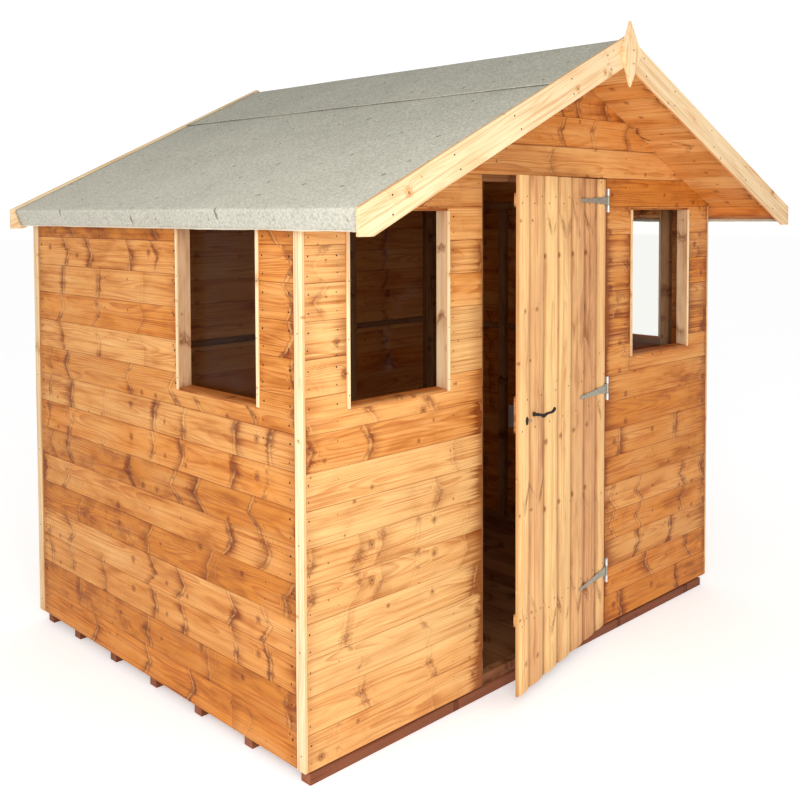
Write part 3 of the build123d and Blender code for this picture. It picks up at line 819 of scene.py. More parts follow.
def merge(target, source):
    """Adds one mesh to another and frees it."""
    holder = bpy.data.meshes.new("holder")
    source.to_mesh(holder)
    source.free()
    target.from_mesh(holder)
    bpy.data.meshes.remove(holder)


def eased_timber(node, finish, arris, stained, body="shed"):
    """A CAD node's timbers with their arrises eased and their own grain."""
    bm = eased_copy(node, arris)
    mark_grain(bm, random.Random(node), stained)
    finish_piece(f"{node}_timber", bm, finish, body, (node,))


HEAD_HEIGHT = 0.0008
HEAD_TAPER = 0.55  # top of a nail's head as a share of its foot
HEAD_LIFT = 0.4  # how far the head's middle stands off the face, as a share of its height


def stud_head(bm, at, normal, radius, height=HEAD_HEIGHT, sides=7):
    """A low tapered nail head standing on a face."""
    bmesh.ops.create_cone(
        bm, cap_ends=True, segments=sides, radius1=radius, radius2=radius * HEAD_TAPER, depth=height,
        matrix=standing_on(at, normal, height * HEAD_LIFT),
    )


# ---------------------------------------------------------------- measures


def heights(low, high, first, step):
    """Lap heights between low and high."""
    count = int((high - low) / step) + 2
    marks = [first + step * i for i in range(-count, count * 2)]
    return [mark for mark in marks if low + 1e-4 < mark < high - 1e-4]


def roof_line():
    """Slope, ridge height and eaves distance of the roof boards' underside."""
    bm = clean_copy("left_roof_boards")
    corners = [vert.co.copy() for vert in bm.verts]
    bm.free()
    eaves = min(corners, key=lambda corner: corner.z)
    inner = max(corner.x for corner in corners)
    ridge = min((corner for corner in corners if corner.x > inner - 1e-4), key=lambda corner: corner.z)
    slope = (ridge.z - eaves.z) / (ridge.x - eaves.x)
    return slope, ridge.z - ridge.x * slope, -eaves.x


def gaps_between(node, axis):
    """Gaps between neighbouring solids of a node."""
    boxes = sorted(spans(node), key=lambda box: box[0][axis])
    return [(near[1][axis], far[0][axis]) for near, far in zip(boxes, boxes[1:])]


class Measures:
    """Heights and places that several pieces share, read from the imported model."""

    def __init__(self):
        self.slope, self.apex, self.eaves = roof_line()
        self.pitch = atan(self.slope)
        low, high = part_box("front_wall_below_windows")
        self.wall_low, self.sill_cut = low.z, high.z
        self.half_width = high.x
        self.front = low.y
        self.board = high.y - low.y
        self.room = (-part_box("left_wall_below_window")[1].x, -high.y)
        self.head_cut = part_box("front_wall_above_windows")[0].z
        self.door_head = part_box("front_gable_boards")[0].z
        self.overlay_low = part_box("front_gable_overlay")[0].z
        self.doorway = gaps_between("front_wall_below_windows", 0)[0]
        left, _, right = gaps_between("front_wall_window_piers", 0)
        self.window_holes = (left, right)
        self.side_hole = gaps_between("left_wall_window_piers", 1)[0]
        boards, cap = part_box("left_roof_boards")[1].z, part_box("ridge_felt")[1].z
        self.felt = (cap - boards) / 2 * cos(self.pitch)

    def under(self, x):
        """Height of the roof boards' underside."""
        return self.apex - self.slope * abs(x)

    def on_slope(self, sign, y, along, lift):
        """Place on a slope: up from the eaves edge of the boards' underside, then square to the slope."""
        x = self.eaves - along * cos(self.pitch) + lift * sin(self.pitch)
        z = self.under(self.eaves) + along * sin(self.pitch) + lift * cos(self.pitch)
        return Vector((sign * x, y, z))

    def up_slope(self, sign):
        return Vector((-sign * cos(self.pitch), 0, sin(self.pitch)))

    def outward(self, sign):
        return Vector((sign * sin(self.pitch), 0, cos(self.pitch)))

    def laps(self, low, high):
        return heights(low, high, self.wall_low, sizes().cover)


@cache
def measured():
    return Measures()


# ---------------------------------------------------------------- cladding


def cut_opening(bm, x0, x1, z0, z1):
    """Cuts a sheet in the XZ plane round an opening and takes out what lies in it."""
    for x in (x0, x1):
        cut(bm, (x, 0, 0), (1, 0, 0))
    for z in (z0, z1):
        cut(bm, (0, 0, z), UP)
    inside = []
    for face in bm.faces:
        centre = face.calc_center_median()
        if x0 < centre.x < x1 and z0 < centre.z < z1:
            inside.append(face)
    bmesh.ops.delete(bm, geom=inside, context="FACES")


def part_at_laps(bm, laps):
    """Parts a sheet at its laps and merges what the openings' cuts divided."""

    def on_lap(edge):
        return any(all(abs(vert.co.z - lap) < TOUCH for vert in edge.verts) for lap in laps)

    bmesh.ops.split_edges(bm, edges=[edge for edge in bm.edges if on_lap(edge)])
    inner = [edge for edge in bm.edges if not edge.is_boundary]
    bmesh.ops.dissolve_limit(bm, angle_limit=FLAT_ANGLE, verts=bm.verts[:], edges=inner)


def rag_ends(bm, ragged, chance):
    """Moves the ends of each board by chance, outwards more than inwards."""
    for group in islands(bm):
        left = min(vert.co.x for vert in group)
        right = max(vert.co.x for vert in group)
        moves = (chance.uniform(-ragged, ragged * 0.3), chance.uniform(-ragged * 0.3, ragged))
        for vert in group:
            if vert.co.x < left + TOUCH:
                vert.co.x += moves[0]
            elif vert.co.x > right - TOUCH:
                vert.co.x += moves[1]


def front_edges(bm):
    """Edges of the front faces at Y=0: those along the boards' tops, bottoms and ends."""
    tops, bottoms, ends = [], [], []
    for edge in bm.edges:
        if any(abs(vert.co.y) > 1e-6 for vert in edge.verts):
            continue
        beside = next((face for face in edge.link_faces if abs(face.normal.y) < 0.5), None)
        if beside is None:
            continue
        if beside.normal.z > 0.5:
            tops.append(edge)
        elif beside.normal.z < -0.5:
            bottoms.append(edge)
        else:
            ends.append(edge)
    return tops, bottoms, ends


def lean_back(bm, lean, thickness):
    """Leans the front of each board back towards its top."""
    for group in islands(bm):
        low = min(vert.co.z for vert in group)
        for vert in group:
            if vert.co.y < thickness / 2:
                vert.co.y += lean * (vert.co.z - low) / sizes().cover


def panel(outline, openings, laps, thickness, groove, lip, ragged=0.0, chance=None, lean=0.0):
    """Boards lying along X in a panel that faces -Y: front face at Y=0, cut round the openings.

    The outline and the openings are given in X and Z, the laps as heights. groove and lip are the easings of
    the boards' top edges and of the others.
    """
    bm = bmesh.new()
    bm.faces.new([bm.verts.new((x, 0, z)) for x, z in outline])
    for lap in laps:
        cut(bm, (0, 0, lap), UP)
    for opening in openings:
        cut_opening(bm, *opening)
    part_at_laps(bm, laps)
    if ragged:
        rag_ends(bm, ragged, chance)
    made = bmesh.ops.extrude_face_region(bm, geom=bm.faces[:], use_keep_orig=True)
    bmesh.ops.translate(bm, verts=new_verts(made), vec=(0, thickness, 0))
    outwards(bm)
    tops, bottoms, ends = front_edges(bm)
    if lean:
        lean_back(bm, lean, thickness)
    ease(bm, tops, groove)
    ease(bm, [edge for edge in bottoms + ends if edge.is_valid], lip)
    return bm


def gable_outline(low):
    """Outline of a gable-ended panel from a height up to the roof boards."""
    m = measured()
    half = m.half_width
    eaves = m.under(half)
    if low < eaves:
        return [(-half, low), (half, low), (half, eaves), (0, m.apex), (-half, eaves)]
    reach = (m.apex - low) / m.slope
    return [(-reach, low), (reach, low), (0, m.apex)]


def clad(name, outline, openings, laps, thickness, place, nodes, stained, seed, run=(1, 0, 0), **soaked):
    """One face of cladding, modelled facing -Y and then moved to its place."""
    size = sizes()
    chance = random.Random(seed)
    bm = panel(outline, openings, laps, thickness, size.groove, size.lip, size.ragged, chance, size.lean)
    move(bm, place)
    mark_grain(bm, chance, stained, run, paired=0.6, **soaked)
    finish_piece(name, bm, "dipped_boards", "shed", nodes)


def front_depth(centre):
    """How dark the front boards are drawn: the panel left of the doorway is the palest, the one right of it
    the darkest.
    """
    m = measured()
    if centre.x > m.doorway[1]:
        return (0.6, 1.05) if centre.z > m.sill_cut else (0.7, 1.1)
    if centre.z > m.head_cut:
        return (0.3, 0.75)
    if centre.z > m.sill_cut:
        return (0.0, 0.35) if centre.x < m.window_holes[0][0] else (0.15, 0.5)
    return (0.3, 0.6) if centre.z > m.sill_cut - sizes().cover else (0.0, 0.3)


def front_ends(centre):
    """How stained the front boards' left and right ends are: most where they end at the doorway."""
    m = measured()
    left, right = m.doorway
    if centre.x < left:
        return (0.5, 2.2 if centre.z < m.sill_cut else 0.9)
    return (1.2, 0.9) if centre.x > right else (0.5, 0.5)


def side_depth(centre):
    """How deeply the side boards took the treatment: most low down, where they were also handled."""
    floor = max(0.0, 1.0 - centre.z / 0.9)
    return (0.52 + floor * 0.26, 0.92 + floor * 0.3)


GABLE_DEPTH = (0.58, 0.95)
REAR_DEPTH = (0.3, 0.8)
SIDE_ENDS = (0.45, 0.6)
BATTEN_PLACE = 0.34  # where a batten lay across the side boards in the stack, from their front ends


def front_cladding():
    m = measured()
    windows = [(x0, x1, m.sill_cut, m.head_cut) for x0, x1 in m.window_holes]
    door = (*m.doorway, m.wall_low - 1, m.door_head)
    nodes = [f"front_wall_{part}" for part in ("below_windows", "window_piers", "above_windows")]
    clad(
        "front_cladding", gable_outline(m.wall_low), [*windows, door], m.laps(m.wall_low, m.apex), m.board,
        Matrix.Translation((0, m.front, 0)), [*nodes, "front_gable_boards"], front_depth, 11, ends=front_ends,
    )


def gable_cladding():
    """The second layer of boards in the gable, whose laps start at its own foot."""
    m = measured()
    low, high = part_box("front_gable_overlay")
    clad(
        "gable_cladding", gable_outline(low.z), [], heights(low.z, m.apex, low.z, sizes().cover),
        high.y - low.y, Matrix.Translation((0, low.y, 0)), ["front_gable_overlay"], GABLE_DEPTH, 12,
    )


def rear_cladding():
    m = measured()
    low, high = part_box("rear_wall_boards")
    place = Matrix.Translation((0, high.y, 0)) @ Matrix.Rotation(pi, 4, "Z")
    clad(
        "rear_cladding", gable_outline(m.wall_low), [], m.laps(m.wall_low, m.apex), high.y - low.y, place,
        ["rear_wall_boards"], REAR_DEPTH, 13,
    )


def side_cladding(side, sign, seed):
    m = measured()
    low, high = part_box(f"{side}_wall_below_window")
    outer = high.x if sign > 0 else low.x
    top = m.under(outer)
    outline = [(low.y, m.wall_low), (high.y, m.wall_low), (high.y, top), (low.y, top)]
    window = (*sorted(sign * y for y in m.side_hole), m.sill_cut, m.head_cut)
    place = Matrix.Translation((outer, 0, 0)) @ Matrix.Rotation(sign * pi / 2, 4, "Z")
    nodes = [f"{side}_wall_{part}" for part in ("below_window", "window_piers", "above_window")]
    clad(
        f"{side}_cladding", outline, [window], m.laps(m.wall_low, top), high.x - low.x, place, nodes,
        side_depth, seed, (0, 1, 0), ends=SIDE_ENDS, mark=BATTEN_PLACE,
    )


def roof_boarding(side, sign):
    """Boards from front to back on a slope, grooved side down."""
    m = measured()
    size = sizes()
    node = f"{side}_roof_boards"
    low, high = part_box(node)
    reach = (m.eaves - min(abs(low.x), abs(high.x))) / cos(m.pitch)
    chance = random.Random(node)
    outline = [(low.y, 0), (high.y, 0), (high.y, reach), (low.y, reach)]
    laps = heights(0, reach, 0, size.cover)
    bm = panel(outline, [], laps, m.board, size.roof_groove, size.roof_groove, size.ragged, chance)
    axes = turned(Vector((0, 1, 0)), m.outward(sign), m.up_slope(sign))
    move(bm, Matrix.Translation(m.on_slope(sign, 0, 0, 0)) @ axes)
    outwards(bm)
    mark_grain(bm, chance, (0.3, 0.8), (0, 1, 0), paired=0.5)
    finish_piece(f"{side}_roof_boarding", bm, "dipped_boards", "shed", (node,))


def floor_boarding():
    """Deck boards across the bearers."""
    size = sizes()
    low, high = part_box("floor_deck")
    outline = [(low.y, low.x), (high.y, low.x), (high.y, high.x), (low.y, high.x)]
    bm = panel(outline, [], heights(low.x, high.x, low.x, size.cover), high.z - low.z, size.lip, size.lip)
    axes = turned(Vector((0, 1, 0)), Vector((0, 0, -1)), Vector((1, 0, 0)))
    move(bm, Matrix.Translation((0, 0, high.z)) @ axes)
    outwards(bm)
    mark_grain(bm, random.Random("deck"), (0.4, 0.9), (0, 1, 0))
    finish_piece("floor_boarding", bm, "frame_timber", "shed", ("floor_deck",))


# ---------------------------------------------------------------- wall nails

SUNK = 0.0006  # how deep nails are set behind the foremost line of a face
DRIFT = 0.003  # how far a nail strays along the wall
RISE_DRIFT = 0.004  # how far it strays up or down
CORNER_ROW = 0.011  # nail rows at the corners, from the wall's end
DOOR_ROWS = (0.016, 0.020)  # nail rows left and right of the doorway, from its edges
WINDOW_ROWS = (0.043, 0.027)  # nail rows left and right of a front window, from its edges
STRIP_ROW = 0.024  # nail rows beside a corner strip, from its edge
SIDE_LARGE = 1.4  # size of the nails on the side walls, beside the others
HIDDEN_SIZE = 0.7  # size of the nails that hardly show
HIDDEN_SHARE = 0.3  # how many of those show at all
GABLE_ROWS = (-0.94, -0.45, 0.0, 0.45, 0.94)  # nails in a gable board, as shares of its reach


def wall_nails():
    """Two nails through each board: dark rows at the ends and openings, sparser and smaller ones between."""
    m = measured()
    size = sizes()
    bm = bmesh.new()
    chance = random.Random("nails")
    hidden = m.apex
    steps = (size.nail_end, size.cover - size.nail_end * 1.3)

    def column(x, y, normal, top, clear):
        """Nails up one stud; every nail above clear shows, and nails on the side walls are larger."""
        along = 1 if normal[0] else 0
        large = SIDE_LARGE if normal[0] else 1.0
        for lap in [m.wall_low, *m.laps(m.wall_low, top)]:
            for z in (lap + step for step in steps):
                radius = size.nail * chance.uniform(0.85, 1.15) * (1.0 if z > clear else HIDDEN_SIZE) * large
                at = [x, y, z + chance.uniform(-RISE_DRIFT, RISE_DRIFT)]
                at[along] += chance.uniform(-DRIFT, DRIFT)
                if z < top and (z > clear or chance.random() < HIDDEN_SHARE):
                    stud_head(bm, at, normal, radius)

    edge = m.half_width - CORNER_ROW
    rows = {-edge: 0, edge: 0, m.doorway[0] - DOOR_ROWS[0]: hidden, m.doorway[1] + DOOR_ROWS[1]: hidden}
    for left, right in m.window_holes:
        rows[left - WINDOW_ROWS[0]] = m.sill_cut
        rows[right + WINDOW_ROWS[1]] = m.sill_cut
    for x, clear in rows.items():
        column(x, m.front + SUNK, OUT, min(m.overlay_low, m.under(x) - 0.03), clear)
    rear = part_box("rear_wall_boards")[1].y - SUNK
    for low, high in spans("rear_frame_studs"):
        x = max(-edge, min(edge, (low.x + high.x) / 2))
        column(x, rear, (0, 1, 0), m.under(x) - 0.03, 0 if abs(x) > edge - 0.05 else hidden)
    strip_low, strip_high = spans("corner_strips")[0]
    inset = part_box("corner_strips")[1].y - (strip_high.y - strip_low.y) - STRIP_ROW
    for low, high in spans("side_frame_studs"):
        side, sign = SIDES[1] if low.x > 0 else SIDES[0]
        face = sign * max(abs(corner.x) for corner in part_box(f"{side}_wall_below_window"))
        middle = (low.y + high.y) / 2
        y = max(-inset, min(inset, middle))
        clear = 0 if abs(y) > inset - 0.01 else hidden
        if min(abs(middle - hole) for hole in m.side_hole) < 0.04:
            clear = m.sill_cut
        column(face - sign * SUNK, y, (sign, 0, 0), m.under(face) - 0.02, clear)
    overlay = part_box("front_gable_overlay")[0].y + SUNK
    for lap in [m.overlay_low, *heights(m.overlay_low, m.apex, m.overlay_low, size.cover)]:
        reach = (m.apex - lap) / m.slope - 0.09
        z = lap + size.nail_end
        for x in (reach * share for share in GABLE_ROWS):
            if reach > 0.12 and m.under(x) > z + 0.02:
                stud_head(bm, (x, overlay, z), OUT, size.nail * 0.8)
    finish_piece("wall_nails", bm, "nail_steel", "shed")


# ---------------------------------------------------------------- roof felt

EDGE_IN = 0.001  # how far the drawn felt's ends stay inside the modelled sheet's
FELT_SHARE = 0.9  # of the modelled sheet's thickness that the drawn one has
CAP_EDGE = 0.05  # width of the ridge strip's edges, which lift a little
CAP_LIFT = 0.0004
CLOUT_HEIGHT = 0.0014
CLOUT_SIDES = 8
CLOUT_PITCH = 0.11  # between the nails along the ridge strip
VERGE_PITCH = 0.14  # between the nails down the verges
NAIL_INSET = 0.022  # of the nails from the felt's edges
ON_CAP, BESIDE_CAP = 0.0006, -0.0021  # height of the nails over the ridge strip's face, carried on


def slow_noise(x, y, z):
    return noise.noise(Vector((x, y, z)))


def crosswise(bm, low, high):
    """Edges that run across the sheet and whose length lies between two limits."""
    across = [edge for edge in bm.edges if abs(edge.verts[0].co.y - edge.verts[1].co.y) < TOUCH]
    return [edge for edge in across if low < edge.calc_length() < high]


def divide(bm, edges, cuts):
    bmesh.ops.subdivide_edges(bm, edges=edges, cuts=cuts, use_grid_fill=True)


def felt_sheet(points, y0, y1, fold):
    """A sheet that follows points in X and Z from y0 to y1, rounded at its folds and finely divided."""
    bm = bmesh.new()
    line = [bm.verts.new((x, y0, z)) for x, z in points]
    edges = [bm.edges.new(pair) for pair in zip(line, line[1:])]
    made = bmesh.ops.extrude_edge_only(bm, edges=edges)
    bmesh.ops.translate(bm, verts=new_verts(made), vec=(0, y1 - y0, 0))
    ease(bm, [edge for edge in bm.edges if len(edge.link_faces) == 2], fold, 4)
    hem = crosswise(bm, 0.03, 0.2)
    if hem:
        divide(bm, hem, 3)
    reach = 0.9 * (y1 - y0)
    divide(bm, [edge for edge in bm.edges if abs(edge.verts[0].co.y - edge.verts[1].co.y) > reach], 60)
    divide(bm, crosswise(bm, 0.2, 9.0), 30)
    outwards(bm)
    if sum(face.normal.z for face in bm.faces) < 0:
        bmesh.ops.reverse_faces(bm, faces=bm.faces[:])
    return bm


def ripple(x, y):
    """Height of the felt's slow waves."""
    slow = slow_noise(x * 2.2, y * 1.6, 3.1)
    quick = slow_noise(x * 7.0, y * 5.0, 8.7)
    return min(1.0, max(0.0, 0.5 + slow * 0.55 + quick * 0.2)) * sizes().felt_wave


def felt_piece(name, bm, node):
    """Gives the sheet its thickness, downwards."""
    piece = finish_piece(name, bm, "roof_felt", "shed", (node,), smooth=True)
    wall = piece.modifiers.new("thickness", "SOLIDIFY")
    wall.thickness = measured().felt * FELT_SHARE
    wall.offset = -1


def slope_felt(side, sign):
    """The felt of one slope, folded down over the eaves, where its hem hangs unevenly."""
    m = measured()
    low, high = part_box("left_roof_felt")
    top = m.board + m.felt
    drop = (m.under(m.eaves) - m.felt * sin(m.pitch) - low.z) / cos(m.pitch)
    foot, fold = (m.on_slope(sign, 0, -m.felt, lift) for lift in (-drop, top))
    lap = min(abs(low.x), abs(high.x))
    points = [(foot.x, foot.z), (fold.x, fold.z), (sign * lap, m.under(lap) + top / cos(m.pitch))]
    bm = felt_sheet(points, low.y + EDGE_IN, high.y - EDGE_IN, sizes().felt_fold)
    for vert in bm.verts:
        x, y, z = vert.co
        below = -(vert.co - Vector((fold.x, y, fold.z))).dot(m.outward(sign)) / (foot - fold).length
        if below > 0.12:
            droop = slow_noise(sign * 5.0, y * 4.5, 1.7) + slow_noise(2.0, y * 15.0, 4.0) * 0.4
            loose = 0.001 + 0.002 * (0.5 + 0.5 * slow_noise(y * 6.0, 9.0, sign))
            vert.co -= m.up_slope(sign) * below * loose
            vert.co += m.outward(sign) * droop * sizes().felt_droop * below
        else:
            vert.co.z += ripple(x, y)
    felt_piece(f"{side}_slope_felt", bm, f"{side}_roof_felt")


def ridge_strip():
    """The strip lapped over both slopes, whose edges lift unevenly."""
    m = measured()
    low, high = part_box("ridge_felt")
    reach = high.x
    foot = high.z - m.slope * reach
    points = [(-reach, foot), (0, high.z), (reach, foot)]
    bm = felt_sheet(points, low.y + EDGE_IN, high.y - EDGE_IN, sizes().ridge_fold)
    for vert in bm.verts:
        x, y, z = vert.co
        edge = max(0.0, (abs(x) - reach + CAP_EDGE) / CAP_EDGE)
        lift = edge * (0.0012 + 0.0018 * (0.5 + 0.5 * slow_noise(x, y * 7.0, 6.0)))
        vert.co.z += ripple(x, y) + lift + CAP_LIFT
        vert.co.x += edge * 0.002 * slow_noise(7.0, y * 3.0, x)
    felt_piece("ridge_strip_felt", bm, "ridge_felt")


def felt_nails():
    """Clout nails along the ridge strip's edges, down the verges and along the hem."""
    m = measured()
    bm = bmesh.new()
    chance = random.Random("clouts")
    front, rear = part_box("left_roof_felt")[0].y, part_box("left_roof_felt")[1].y
    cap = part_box("ridge_felt")[1]

    def clout(at, normal):
        stud_head(bm, at, normal, sizes().clout, CLOUT_HEIGHT, CLOUT_SIDES)

    def on_felt(x, y, lift):
        """Place on the felt, measured from the ridge strip's face carried on down the slope."""
        return (x, y, cap.z - m.slope * abs(x) + ripple(x, y) + lift)

    for sign in (-1, 1):
        square = m.outward(sign)
        steps = int((rear - front) / CLOUT_PITCH)
        for i in range(steps + 1):
            y = front + 0.03 + (rear - front - 0.06) * i / steps + chance.uniform(-0.008, 0.008)
            x = sign * (cap.x - NAIL_INSET + chance.uniform(-0.003, 0.003))
            clout(on_felt(x, y, ON_CAP), square)
            if i % 3 == 0 and y + 0.04 < rear:
                clout(m.on_slope(sign, y + 0.04, -m.felt - CLOUT_HEIGHT, -0.02), -m.up_slope(sign))
        rows = int((m.eaves - cap.x) / VERGE_PITCH)
        for i in range(rows):
            x = sign * (cap.x + 0.06 + (m.eaves - cap.x - 0.09) * i / rows)
            for y in (front + NAIL_INSET, rear - NAIL_INSET):
                clout(on_felt(x, y, BESIDE_CAP), square)
    finish_piece("felt_clouts", bm, "zinc_steel", "shed")


# ---------------------------------------------------------------- door

FULL_BOARDS = 5  # door boards of full width, between the two trimmed ones
CROWN_STEPS = 10  # facets over the crown of a door board
DOOR_TONES = (0.6, 0.8, 0.85, 0.15, 0.1, 0.7, 0.2)  # how brown each board is, from the hinges
LEDGE_NAILS = (0.28, 0.72)  # places across a door board
METAL = 0.0025  # thickness of the hinges
SHEET_EASE = 0.0005
STRAP_SCREWS = (  # distance from the leaf's edge, rise and radius
    (0.026, 0.009, 0.0042),
    (0.026, -0.009, 0.0042),
    (0.086, 0, 0.0042),
    (0.152, 0, 0.0040),
    (0.215, 0, 0.0036),
)
PLATE_SCREWS = (-0.034, 0.0, 0.034)  # heights on a hinge's plate
SMALL_SCREW = 0.0036
KNUCKLE = 0.0045  # radius of a hinge's knuckles
LEVER_CURVE = (  # share of the arm's reach, rise and radius
    (-0.10, -0.003, 0.0030),
    (-0.04, -0.003, 0.0068),
    (0.08, -0.002, 0.0066),
    (0.22, 0.001, 0.0050),
    (0.42, 0.002, 0.0044),
    (0.62, 0.000, 0.0046),
    (0.80, 0.001, 0.0054),
    (0.92, 0.006, 0.0056),
    (0.97, 0.011, 0.0050),
    (0.93, 0.013, 0.0030),
)
ROSE, ROSE_THICK = 0.0088, 0.0035
NECK = (0.0062, 0.0052, 0.0056)  # radii of a lever's neck from the door outwards
SPINDLE = 0.0038
KEYHOLE_IN, KEYHOLE_DROP = 0.062, 0.016  # keyhole from the leaf's free edge and below the spindle
COVER_STRETCH = 1.5  # height of the keyhole cover as a share of its width
LOCK_SCREWS = (  # distance from the free edge, depth, rise above the keyhole and radius
    (0.100, 0.001, -0.007, 0.0045),
    (0.094, 0.002, 0.001, 0.0030),
)


class Leaf:
    """Sizes of the door, given closed, and the turn that stands it ajar."""

    def __init__(self):
        swing = next(joint for joint in frame["joints"] if joint["child"] == "door")
        turn = next(joint for joint in frame["joints"] if joint["child"] == "handle")
        self.pin = Vector(swing["pos_m"])
        ajar = Matrix.Rotation(radians(-swing["range_deg"][0]), 4, "Z")
        self.opened = Matrix.Translation(self.pin) @ ajar @ Matrix.Translation(-self.pin)
        self.shut = self.opened.inverted()
        self.low, self.high = self.closed_box("door_boards")
        self.lock_low, self.lock_high = self.closed_box("lock_case")
        self.spindle = self.shut @ Vector(turn["pos_m"])
        self.bars = sorted((low.z, high.z) for low, high in spans("door_ledges"))

    def closed_box(self, node):
        """The box of one of the door's nodes when the door is shut."""
        return box_of(self.shut @ vert.co for vert in frame["nodes"][node].data.vertices)


@cache
def leaf_of_door():
    return Leaf()


def hang(bm):
    """Stands a closed door piece ajar."""
    move(bm, leaf_of_door().opened)


def door_board_edges():
    """Joints between the door boards: one trimmed board at each edge, full ones between."""
    leaf, trimmed = leaf_of_door(), sizes().door_edge_board
    cover = (leaf.high.x - leaf.low.x - 2 * trimmed) / FULL_BOARDS
    first = leaf.high.x - trimmed
    return [leaf.high.x, *[first - cover * i for i in range(FULL_BOARDS + 1)], leaf.low.x]


def door_tone(centre):
    """How brown a door board is."""
    x = (leaf_of_door().shut @ centre).x
    tone = next(tone for left, tone in zip(door_board_edges()[1:], DOOR_TONES) if x > left)
    return (tone - 0.05, tone + 0.05)


def door_boarding():
    """Upright boards, each crowned in the middle like a split log."""
    size = sizes()
    leaf = leaf_of_door()
    chance = random.Random("door")
    bm = bmesh.new()
    edges = door_board_edges()
    for right, left in zip(edges, edges[1:]):
        middle, half = (left + right) / 2, (right - left) / 2 - 0.0006
        outline = [(middle + half, leaf.high.y), (middle - half, leaf.high.y)]
        for i in range(CROWN_STEPS + 1):
            along = -1 + 2 * i / CROWN_STEPS
            fall = size.door_crown * abs(along) ** 2.2 * min(1.0, half / (size.cover / 2))
            outline.append((middle + half * along, leaf.low.y + fall))
        face = bm.faces.new([bm.verts.new((x, y, leaf.low.z)) for x, y in outline])
        made = bmesh.ops.extrude_face_region(bm, geom=[face], use_keep_orig=True)
        rise = leaf.high.z - leaf.low.z + chance.uniform(-0.0012, 0.0)
        bmesh.ops.translate(bm, verts=new_verts(made), vec=(0, 0, rise))
    outwards(bm)
    ends = []
    for edge in bm.edges:
        if edge.calc_length() < 0.2 and any(abs(face.normal.z) > 0.9 for face in edge.link_faces):
            ends.append(edge)
    ease(bm, ends, size.lip)
    hang(bm)
    mark_grain(bm, chance, door_tone, (0, 0, 1), paired=0.5, ends=(0.3, 0.2))
    finish_piece("door_boarding", bm, "door_pine", "door", ("door_boards",), smooth=True)
    door_nails(edges, chance)


def door_nails(edges, chance):
    """Two nails through each board into each ledge."""
    leaf = leaf_of_door()
    bm = bmesh.new()
    for low, high in leaf.bars:
        for right, left in zip(edges, edges[1:]):
            for share, z in zip(LEDGE_NAILS, (low + 0.012, high - 0.012)):
                x = left + (right - left) * share + chance.uniform(-0.004, 0.004)
                stud_head(bm, (x, leaf.low.y + SUNK, z), OUT, sizes().nail * 0.9)
    hang(bm)
    finish_piece("door_nails", bm, "nail_steel", "door")


def screw_head(bm, at, normal, radius):
    """A low screw head with a small square middle."""
    stud_head(bm, at, normal, radius, 0.0012, 10)
    stud_head(bm, Vector(at) + Vector(normal) * 0.0009, normal, radius * 0.35, 0.0006, 4)


def hinges():
    """T hinges: straps that swing with the leaf and plates on the frame, all screwed on."""
    leaf = leaf_of_door()
    straps = eased_copy("hinge_straps", SHEET_EASE)
    plates = eased_copy("hinge_plates", SHEET_EASE)
    screws = bmesh.new()
    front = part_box("front_wall_below_windows")[0].y
    plate_x = (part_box("hinge_plates")[1].x + leaf.pin.x + KNUCKLE) / 2
    for middle in sorted((low.z + high.z) / 2 for low, high in spans("hinge_straps")):
        for reach, rise, radius in STRAP_SCREWS:
            screw_head(screws, (leaf.high.x - reach, leaf.low.y - METAL, middle + rise), OUT, radius)
        for rise in PLATE_SCREWS:
            screw_head(plates, (plate_x, front - METAL, middle + rise), OUT, SMALL_SCREW)
    hang(screws)
    merge(straps, screws)
    finish_piece("strap_hinges", straps, "zinc_steel", "door", ("hinge_straps",), smooth=True)
    finish_piece("frame_hinges", plates, "bright_zinc", "shed", ("hinge_plates",), smooth=True)


def rod(points):
    """A round bar along a smooth curve; each point is X, Y, Z and its radius."""
    data = bpy.data.curves.new("rod", "CURVE")
    data.dimensions = "3D"
    data.bevel_depth = 1.0
    data.bevel_resolution = 3
    data.use_fill_caps = True
    data.resolution_u = 6
    spline = data.splines.new("NURBS")
    spline.points.add(len(points) - 1)
    for point, (x, y, z, radius) in zip(spline.points, points):
        point.co = (x, y, z, 1)
        point.radius = radius
    spline.order_u = 3
    spline.use_endpoint_u = True
    holder = bpy.data.objects.new("rod", data)
    mesh = bpy.data.meshes.new_from_object(holder)
    bm = bmesh.new()
    bm.from_mesh(mesh)
    bpy.data.meshes.remove(mesh)
    bpy.data.objects.remove(holder)
    bpy.data.curves.remove(data)
    bmesh.ops.remove_doubles(bm, verts=bm.verts[:], dist=1e-6)
    outwards(bm)
    return bm


def disc(bm, at, normal, radius, thick, arris, sides=24):
    """A round plate standing on a face, its outer edge eased."""
    made = bmesh.ops.create_cone(
        bm, cap_ends=True, segments=sides, radius1=radius, radius2=radius, depth=thick,
        matrix=standing_on(at, normal, thick / 2),
    )
    outer = Vector(at) + Vector(normal) * thick
    rim = []
    for edge in {edge for vert in made["verts"] for edge in vert.link_edges}:
        if all(abs((vert.co - outer).dot(Vector(normal))) < 1e-6 for vert in edge.verts):
            rim.append(edge)
    rim.sort(key=lambda edge: tuple(round(c, 6) for c in (edge.verts[0].co + edge.verts[1].co)))
    ease(bm, rim, arris, 2)


